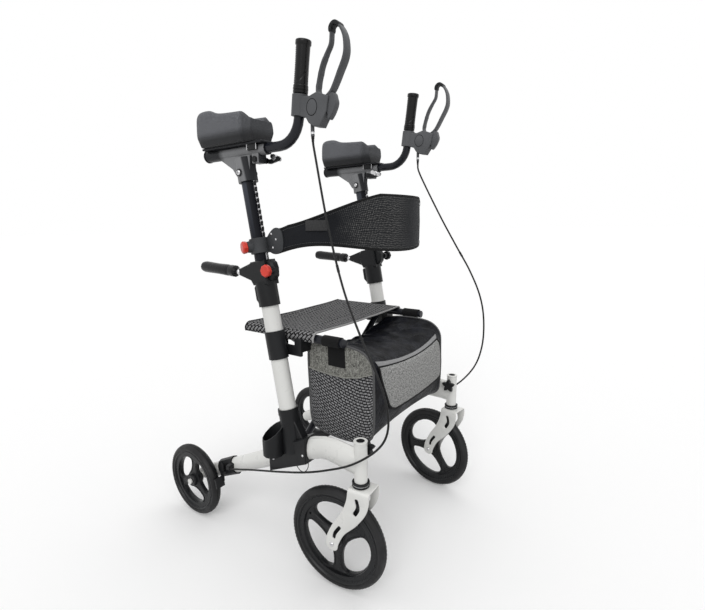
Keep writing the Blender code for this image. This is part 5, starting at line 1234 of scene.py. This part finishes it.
def make_cable(side):
    """The brake cable in two lengths, which meet on the arm."""
    word = WORD[side]
    line = smooth_line([inside(side, *p) for p in (*CABLE_HEAD, *CABLE_ROUTE[side], *CABLE_FOOT)], 0.008)
    split = min(range(len(line)), key=lambda i: abs(line[i].z - SPLIT_Z))
    section = circle(CABLE_R, 12)
    upper = piece(f"cable_top_{side}", sweep(line[: split + 1], section), CABLE_SKIN, smooth=60)
    lower = sweep(line[split:], section)
    lower = piece(f"cable_foot_{side}", lower, CABLE_SKIN, smooth=60, replaces=f"brake_cable_{side}")
    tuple(line[1])
    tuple(line[split - 4])
    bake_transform(upper)
    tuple(line[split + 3])
    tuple(line[len(line) * 3 // 5])
    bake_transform(lower)
    joiner = (line[split - 1], line[split + 1])
    rod(f"cable_joiner_{side}", *joiner, CABLE_R + 0.0006, CABLE_SKIN, f"{word}_arm")
    base = inside(side, *CABLE_START)
    down = (0, 0, -1)
    piece(f"ferrule_{side}", lathe(FERRULE, base, down, 20), BLACK, f"{word}_handle")
    tip = lathe([(0, 0.0043), (0.0045, 0.0043), (0.005, 0.0038)], base + Vector((0, 0, 0.0035)), down, 20)
    piece(f"cable_tip_{side}", tip, STEEL_ALONG, f"{word}_handle")


# Seat

SEAT_Y = (0.166, 0.410)
SEAT_ROWS = 56
SEAT_THICK = 0.0026
STITCH_PITCH = 0.0055
CLOTH_R = 0.015
WRAP = [math.radians(a) for a in (200, 190, 180, 168, 156, 144, 132, 120, 108, 98)]


def seat_height(share_x, y):
    """How far the seat hangs below its rails: most in the middle, and least at the hems."""
    along = (y - SEAT_Y[0]) / (SEAT_Y[1] - SEAT_Y[0])
    sag = 0.010 * (0.35 + 0.65 * min(1.0, 6 * along, 5 * (1 - along)))
    dip = sag * (1 - share_x * share_x)
    fold = 0.0022 * math.exp(-(((y - 0.243 - 0.010 * share_x) / 0.008) ** 2)) * (1 - abs(share_x) ** 3)
    ripple = 0.0010 * noise.noise(Vector((share_x * 3.2, y * 26, 4.0)))
    return dip + fold - ripple


def seat_line(y, lift, steps=44):
    """The seat's surface at y, as a line from rail to rail that wraps round both."""
    radius = CLOTH_R + lift
    left = [(-RAIL_X + radius * math.cos(a), RAIL_Z + radius * math.sin(a)) for a in WRAP]
    shares = [2 * i / steps - 1 for i in range(steps + 1)]
    across = [(RAIL_X * share, RAIL_Z + radius - seat_height(share, y)) for share in shares]
    return [world(x, y, z) for x, z in left + across + [(-x, z) for x, z in reversed(left)]]


def fold_squash(obj, keep=0.18):
    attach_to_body(obj, "right_rail")
    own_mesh(obj)


def stitch_row(name, line, pitch, attach, radius=0.00042):
    """Short stitches along a line, as one piece."""
    total = lengths(line)
    bm = bmesh.new()
    spot = pitch
    i = 0
    while spot + pitch < total[-1]:
        while total[i + 1] < spot:
            i += 1
        a, b = Vector(line[i]), Vector(line[i + 1])
        middle = a + (b - a) * ((spot - total[i]) / max(1e-9, total[i + 1] - total[i]))
        half = (b - a).normalized() * pitch * 0.32
        sweep([middle - half, middle, middle + half], circle(radius, 5), bm=bm)
        spot += pitch
    attach(piece(name, bm, GREY_THREAD, smooth=80))


def make_seat():
    rings = []
    for share in [i / SEAT_ROWS for i in range(SEAT_ROWS + 1)]:
        y = SEAT_Y[0] + (SEAT_Y[1] - SEAT_Y[0]) * share
        thick = SEAT_THICK if min(share, 1 - share) * SEAT_ROWS >= 1 else 0.0020
        rings.append(seat_line(y, thick) + seat_line(y, 0.0)[::-1])
    cloth = piece("seat_cloth", skin(rings), SEAT_CLOTH, smooth=60, replaces="seat")
    fold_squash(cloth)
    front, rear = SEAT_Y
    hems = ("front", front + 0.0012, 0.0026, LIGHT_PIPING), ("rear", rear - 0.0012, 0.003, BLACK_WEB)
    for name, y, radius, material in hems:
        hem = sweep(seat_line(y, 0.0009), circle(radius, 12), Vector((0, 1, 0)))
        fold_squash(piece(f"seat_piping_{name}", hem, material, smooth=60))
    for name, y in (("front", front + 0.0085), ("front_inner", front + 0.011), ("rear", rear - 0.011)):
        stitch_row(f"seat_stitch_{name}", seat_line(y, 0.003)[6:-6], STITCH_PITCH, fold_squash)


# Backrest band

BAND_DEPTH = 0.224
BAND_THICK = 0.0045
BAND_LOW_Z = 0.802
BAND_END_TOP = 0.868
BAND_FRONT_TOP = 0.941
BAND_START_Y = 0.270
BAND_TURN_Y = 0.254
LOOP_Y = (0.124, 0.172)
LOOP_Z = 0.869
BINDING_SECTION = (0.0062, 0.0062, 0.002, 2)
BINDING_IN = 0.0028
STITCH_IN = 0.0085


def band_line(steps=96):
    """The band's run in (x, y) from plate to plate, with 0 at its ends and 1 in front."""
    x_end = PLATE_X - 0.0015 - 0.0003 - BAND_THICK / 2
    line = [(-x_end, BAND_START_Y - 0.005 * i, 0.0) for i in range(4)]
    for i in range(1, steps):
        angle = math.pi * (i / steps - 0.5)
        share = math.cos(angle)
        line.append((x_end * math.sin(angle), BAND_TURN_Y - BAND_DEPTH * share**0.8, share))
    return line + [(x_end, BAND_START_Y - 0.005 * i, 0.0) for i in (3, 2, 1, 0)]


def band_frames():
    """For each point of the run: its place, its normal, the band's lower and upper edge, and its share."""
    line = band_line()
    frames = []
    for i, (x, y, share) in enumerate(line):
        before, after = line[max(i - 1, 0)], line[min(i + 1, len(line) - 1)]
        along = Vector((after[0] - before[0], after[1] - before[1])).normalized()
        low = BAND_LOW_Z + 0.020 * math.sin(math.pi * share**0.8)
        top = BAND_END_TOP + (BAND_FRONT_TOP - BAND_END_TOP) * min(1.0, 1.10 * share) ** 1.4
        top -= 0.012 * max(0.0, 1 - min(i, len(line) - 1 - i) / 6)
        frames.append((Vector((x, y)), Vector((along.y, -along.x)), low, top, share))
    return frames


def band_point(frame, offset, z):
    point, normal, *_ = frame
    return world(point.x - normal.x * offset, point.y - normal.y * offset, z)


def band_squash(obj):
    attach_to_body(obj, "right_backrest_ring")
    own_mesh(obj)


def band_ring(frame):
    """The band's section at a frame: its wavy outer face up, and its swelling inner face down."""
    point, _, low, top, share = frame
    half = BAND_THICK / 2
    ring = []
    for t in [i / 12 for i in range(13)]:
        z = low + 0.003 + (top - low - 0.006) * t
        wave = 0.0009 * noise.noise(Vector((point.x * 12, point.y * 12, z * 30)))
        ring.append(band_point(frame, -half - (0.0014 * math.sin(math.pi * t) + wave) * min(1, share * 4), z))
    for t in [1 - i / 12 for i in range(13)]:
        z = low + 0.003 + (top - low - 0.006) * t
        ring.append(band_point(frame, half + 0.005 * share * math.sin(math.pi * t) ** 0.5, z))
    return ring


def make_band():
    """The padded band that the user leans back on: bound edges, soft in the middle of its height."""
    frames = band_frames()
    up = Vector((0, 0, 1))
    cloth = skin([band_ring(frame) for frame in frames])
    band = piece("backrest_cloth", cloth, BAND_CLOTH, smooth=60, replaces="backrest_band")
    band_squash(band)
    face = -BAND_THICK / 2
    for side in SIGN:
        near = [f for f in frames if LOOP_Y[0] < f[0].y < LOOP_Y[1] and f[0].x * SIGN[side] > 0]
        lifts = [0.0016, *[0.004] * (len(near) - 2), 0.0016]
        loop = [band_point(f, face - lift, LOOP_Z) for f, lift in zip(near, lifts)]
        strap = sweep(smooth_line(loop, 0.004), oblong(0.002, 0.024, 0.0008, 2), up)
        band_squash(piece(f"backrest_loop_{side}", strap, LOOP_WEB, smooth=50))
    for name, index, way in (("low", 2, 1), ("top", 3, -1)):
        line = [band_point(f, 0.0, f[index] + way * BINDING_IN) for f in frames]
        edge = sweep(line, oblong(*BINDING_SECTION), up)
        band_squash(piece(f"backrest_binding_{name}", edge, BINDING, smooth=50))
        stitches = [band_point(f, face - 0.0018, f[index] + way * STITCH_IN) for f in frames]
        stitch_row(f"backrest_stitch_{name}", stitches, 0.005, band_squash)


# Bag

BAG_HALF = 0.186
BAG_OUTLINE = (
    (0.207, 0.562), (0.17, 0.578), (0.12, 0.582), (0.07, 0.58), (0.036, 0.57), (0.014, 0.545), (0.01, 0.5),
    (0.01, 0.4), (0.02, 0.36), (0.06, 0.342), (0.12, 0.338), (0.18, 0.346), (0.204, 0.37), (0.208, 0.45),
)
BAG_RING = round_outline(BAG_OUTLINE, 9)
BAG_FINE = round_outline(BAG_OUTLINE, 24)
# z and x of the front pocket's two edges
POCKET_LEFT = (
    (0.541, -0.168), (0.514, -0.163), (0.486, -0.1535), (0.459, -0.142), (0.431, -0.131), (0.4195, -0.118),
    (0.4145, -0.105),
)
POCKET_RIGHT = (
    (0.541, 0.15), (0.52, 0.168), (0.49, 0.18), (0.459, 0.1835), (0.431, 0.182), (0.4195, 0.178),
    (0.4145, 0.17),
)
SIDE_POCKET_TOP = (
    (0.012, 0.526), (0.05, 0.511), (0.091, 0.503), (0.138, 0.503), (0.18, 0.506), (0.2065, 0.51),
)
TRIM_Z = (0.5415, 0.556)
SIDE_Y = (0.0125, 0.2055)
SIDE_ROWS = 24
SIDE_COLUMNS = 32
STRAP_Y = 0.1175
STRAP_R = 0.0132
NARROW_BINDING = oblong(0.0062, 0.0034, 0.0014, 2)
AWAY = Vector((0, -1, 0))
ALONG_Y = Vector((0, 1, 0))


def ease(x):
    x = min(1.0, max(0.0, x))
    return x * x * (3 - 2 * x)


def read_table(table, x):
    """The value at x in rows of (x, value), whichever way x runs."""
    rows = sorted(table)
    for (x_a, a), (x_b, b) in zip(rows, rows[1:]):
        if x <= x_b:
            return a + (b - a) * min(1.0, max(0.0, (x - x_a) / (x_b - x_a)))
    return rows[-1][1]


def bag_point(x, y, z, proud=0.0):
    """A point of the bag's outline at x, bulged in front, tucked below, and creased as the cloth is."""
    share = x / BAG_HALF
    middle = 1 - share * share
    top = ease((z - 0.50) / 0.08)
    front = max(0.0, (0.06 - y) / 0.05)
    low = max(0.0, (0.41 - z) / 0.07) * (1 - ease((y - 0.05) / 0.08))
    forward = (0.012 * front * (1 - low) - 0.022 * low) * middle
    held = ease((1 - abs(share)) / 0.10) * (0.12 + 0.88 * ease((y - 0.022) / 0.030))
    crumple = noise.noise(Vector((share * 4.2, y * 16, z * 7 + 1.7)))
    ridge = 1 - 2 * abs(noise.noise(Vector((share * 2.6 + 5.1, y * 19 + share * 3, 0.7))))
    fine = noise.noise(Vector((share * 9.0, y * 34, z * 18)))
    drop = top * held * (0.0055 * crumple + 0.0065 * ridge + 0.0030 * fine - 0.003)
    ripple = (1 - top) * held * (0.0016 * crumple + 0.0010 * fine) * (0.35 + 0.65 * ease((0.42 - z) / 0.03))
    return world(x, y - forward - ripple - proud, z - 0.030 * top * middle + drop)


def bag_front(z):
    """Where the bag's outline runs down its front at height z."""
    return min((p for p in BAG_FINE if p[0] < 0.045), key=lambda p: abs(p[1] - z))[0]


def bag_span(y):
    """The lowest and highest points of the bag's outline at y."""
    heights = []
    for (y_a, z_a), (y_b, z_b) in zip(BAG_FINE, BAG_FINE[1:] + BAG_FINE[:1]):
        if (y_a - y) * (y_b - y) <= 0 and y_a != y_b:
            heights.append(z_a + (z_b - z_a) * (y - y_a) / (y_b - y_a))
    return min(heights), max(heights)


def panel(rows, away, thick):
    """A closed thin sheet: rows of points on its inner side, thickened along away."""
    bm = bmesh.new()
    layer = bm.loops.layers.uv.new(CLOTH_MAP)
    us, vs = lengths(rows[len(rows) // 2]), lengths([row[len(row) // 2] for row in rows])
    last_row, last = len(rows) - 1, len(rows[0]) - 1
    inner, outer = [[[bm.verts.new(p + away * lift) for p in row] for row in rows] for lift in (0.0, thick)]
    for sheet in (inner, outer):
        for i in range(last_row):
            for j in range(last):
                spots = ((i, j), (i, j + 1), (i + 1, j + 1), (i + 1, j))
                for loop, (k, m) in zip(bm.faces.new([sheet[k][m] for k, m in spots]).loops, spots):
                    loop[layer].uv = (us[m], vs[k])
    rim = [(0, j) for j in range(last)] + [(i, last) for i in range(last_row)]
    rim += [(last_row, j) for j in range(last, 0, -1)] + [(i, 0) for i in range(last_row, 0, -1)]
    for (i, j), (k, m) in zip(rim, rim[1:] + rim[:1]):
        bm.faces.new((inner[i][j], inner[k][m], outer[k][m], outer[i][j]))
    return bm


def on_bag(name, bm, material, smooth=50, **more):
    fold_squash(piece(name, bm, material, smooth=smooth, **more), keep=0.2)


def front_row(z, left, right, proud=0.0, puff=0.0, steps=60):
    y = bag_front(z)
    row = []
    for j in range(steps + 1):
        x = left + (right - left) * j / steps
        row.append(bag_point(x, y, z, proud + puff * ease(min(j, steps - j) / 8)))
    return row


def make_front_pocket():
    """The puffed front pocket with its binding, and the light trim and seam above it."""
    top, bottom = POCKET_LEFT[0][0], POCKET_LEFT[-1][0]
    rows = []
    for i in range(41):
        z = top + (bottom - top) * i / 40
        puff = 0.0035 * math.sin(math.pi * i / 40) ** 0.6 if 0 < i < 40 else 0
        rows.append(front_row(z, read_table(POCKET_LEFT, z), read_table(POCKET_RIGHT, z), 0.0006, puff))
    on_bag("front_pocket", panel(rows, AWAY, 0.0022), MELANGE, smooth=60)
    edge = [row[0] for row in rows] + rows[-1][1:] + [row[-1] for row in reversed(rows[:-1])]
    line = smooth_line([p + AWAY * 0.0016 for p in edge[::2]], 0.004)
    on_bag("front_pocket_binding", sweep(line, NARROW_BINDING, ALONG_Y), BLACK_WEB)
    near = (p for p in round_outline(BAG_OUTLINE, 14) if p[0] < 0.060 and TRIM_Z[0] < p[1] < TRIM_Z[1])
    rows = []
    for y, z in sorted(near, key=lambda p: p[1]):
        share = (z - TRIM_Z[0]) / (TRIM_Z[1] - TRIM_Z[0])
        left, right = -0.1665 - 0.006 * share, 0.150 + 0.008 * share
        xs = [left + (right - left) * j / 60 for j in range(61)]
        rows.append([bag_point(x, y, z) + Vector((0, -0.0007, 0.0004)) for x in xs])
    on_bag("bag_trim", panel(rows, Vector((0, -0.80, 0.6)), 0.0014), TRIM)
    seam = [p + Vector((0, -0.0022, 0.0004)) for p in front_row(0.5402, -0.168, 0.150)]
    on_bag("bag_trim_seam", sweep(seam, oblong(0.0034, 0.0026, 0.0008, 2), ALONG_Y), BLACK_WEB)


def side_puff(i, j, y, z):
    """How far the mesh pocket stands off the bag's end: most in its middle, with a slight ripple."""
    puff = 0.0
    if 0 < i < SIDE_ROWS and 0 < j < SIDE_COLUMNS:
        puff = 0.0055 * math.sin(math.pi * i / SIDE_ROWS) ** 0.7 * math.sin(math.pi * j / SIDE_COLUMNS) ** 0.6
    return puff + 0.0009 * abs(noise.noise(Vector((y * 30, z * 30, 2.0))))


def make_bag_side(side):
    """One end of the bag: cloth over a mesh pocket, their binding, the piped seam and the rail's strap."""
    way = Vector((SIGN[side], 0, 0))
    face = BAG_HALF + 0.0006
    ys = [SIDE_Y[0] + (SIDE_Y[1] - SIDE_Y[0]) * j / SIDE_COLUMNS for j in range(SIDE_COLUMNS + 1)]
    spans = [(y, *bag_span(y), read_table(SIDE_POCKET_TOP, y)) for y in ys]
    upper, lower = [], []
    for i in range(SIDE_ROWS + 1):
        above, below = [], []
        for j, (y, bottom, top, line) in enumerate(spans):
            above.append(inside(side, face, y, line + (top - 0.0016 - line) * i / SIDE_ROWS))
            low = bottom + 0.0016
            z = low + (line - low) * i / SIDE_ROWS
            below.append(inside(side, face + side_puff(i, j, y, z), y, z))
        upper.append(above)
        lower.append(below)
    on_bag(f"bag_side_{side}", panel(upper, way, 0.0012), MELANGE_SIDE, smooth=60)
    on_bag(f"side_pocket_{side}", panel(lower, way, 0.0018), POCKET_MESH, smooth=60)
    binding = sweep([p + way * 0.0022 for p in upper[0]], oblong(0.0022, 0.01, 0.0008, 2), way)
    on_bag(f"side_pocket_binding_{side}", binding, SIDE_BINDING)
    edge = [inside(side, BAG_HALF + 0.001, y, z) for y, z in BAG_RING]
    on_bag(f"bag_piping_{side}", sweep(edge, circle(0.0027, 8), way, True), GREY_BINDING, smooth=60)
    strap = [(BAG_HALF + 0.003, 0.526), (BAG_HALF + 0.0032, 0.55), (BAG_HALF + 0.0034, 0.568)]
    for i in range(25):
        angle = math.radians(-32 + 262 * i / 24)
        strap.append((RAIL_X - STRAP_R * math.cos(angle), RAIL_Z + STRAP_R * math.sin(angle)))
    line = smooth_line([inside(side, x, STRAP_Y, z) for x, z in strap], 0.004)
    on_bag(f"bag_strap_{side}", sweep(line, oblong(0.0016, 0.052, 0.0006, 2), ALONG_Y), BLACK_WEB)


def make_bag():
    xs = [BAG_HALF * (i / 40 - 1) for i in range(81)]
    shell = skin([[bag_point(x, y, z) for y, z in BAG_RING] for x in xs])
    on_bag("bag_shell", shell, NYLON, smooth=60, replaces="bag")
    make_front_pocket()
    for side in SIGN:
        make_bag_side(side)


# The CAD's own solids: each kind's material and the width of its softened edges

DRESS = {
    "side_frame": (WHITE, 0.0008), "post": (WHITE, 0.0006), "frame_joint": (BLACK, 0.001),
    "seat_bracket": (BLACK, 0.001), "height_clamp": (BLACK, 0.001), "side_handle": (SIDE_RUBBER, 0.0008),
    "rear_bracket": (BLACK, 0.0008),
    "height_knob": (BLACK, 0.0007), "star_knob": (BLACK, 0.0008), "rear_brake": (BLACK, 0.0008),
    "rear_rim": (BLACK, 0.0008), "rear_tyre": (TYRE, 0.0008), "caster_fork": (WHITE, 0.0006),
    "front_rim": (BLACK, 0.0008), "front_tyre": (TYRE, 0.0008), "height_tube": (TUBE_PAINT_PAINTED_LIGHT, 0.0005),
    "arm_bracket": (BRACKET_PAINTED_LIGHT, 0.0012), "arm_pad": (FOAM, 0.001), "brake_cable": (CABLE_SKIN, 0),
    "bar_clamp": (BLACK, 0.0008), "backrest_clamp": (BLACK, 0.0009), "backrest_band": (BAND_CLOTH, 0),
    "backrest_knob": (RED, 0.0007), "handle_bar": (DARK_PAINT, 0.0006), "hand_grip": (RUBBER, 0.0006),
    "brake_housing": (CHARCOAL, 0.0012), "brake_lever": (CHARCOAL, 0.0008),
    "brace_pivot_pin": (STEEL, 0.0006),
    "strut_right_to_left": (DARK_PAINT, 0.0005), "strut_left_to_right": (DARK_PAINT, 0.0005),
    "seat_rail": (DARK_PAINT, 0.0006), "seat": (SEAT_CLOTH, 0), "bag": (NYLON, 0),
}
RED_KNOB = "height_knob_R"


def dress_cad():
    """Gives every CAD solid its material, and softens the edges of the ones that show."""
    for name, obj in frame["nodes"].items():
        material, edge = DRESS[name[:-2] if name[-2:] in ("_R", "_L") else name]
        obj.data.materials.clear()
        obj.data.materials.append(RED if name == RED_KNOB else material)
        if not edge:
            continue
        weld = obj.modifiers.new("weld", "WELD")
        weld.merge_threshold = 1e-5
        bevel = obj.modifiers.new("edges", "BEVEL")
        bevel.width = edge
        bevel.segments = 2
        bevel.limit_method = "ANGLE"
        bevel.angle_limit = math.radians(34)
        bevel.harden_normals = True
        obj.data.shade_smooth()
        normals = obj.modifiers.new("normals", "WEIGHTED_NORMAL")
        normals.keep_sharp = False


def main():
    make_camera()
    make_stage()
    dress_cad()
    makers = (make_fork, make_pad, make_rack, make_backrest_clamp, make_arm_details, make_frame_details)
    makers += (make_grip, make_lever, make_housing_details, make_cable)
    for side in SIGN:
        front, rear = caster_place(side), side_place(side)
        make_wheel("front", side, front, CASTER_AXLE, FRONT_R, HEAD_OUT, FRONT_TURN[side], 0.0215)
        make_wheel("rear", side, rear, REAR_AXLE, REAR_R, REAR_OUT, REAR_TURN, 0.0165)
        for make in makers:
            make(side)
    make_seat()
    make_band()
    make_bag()


main()
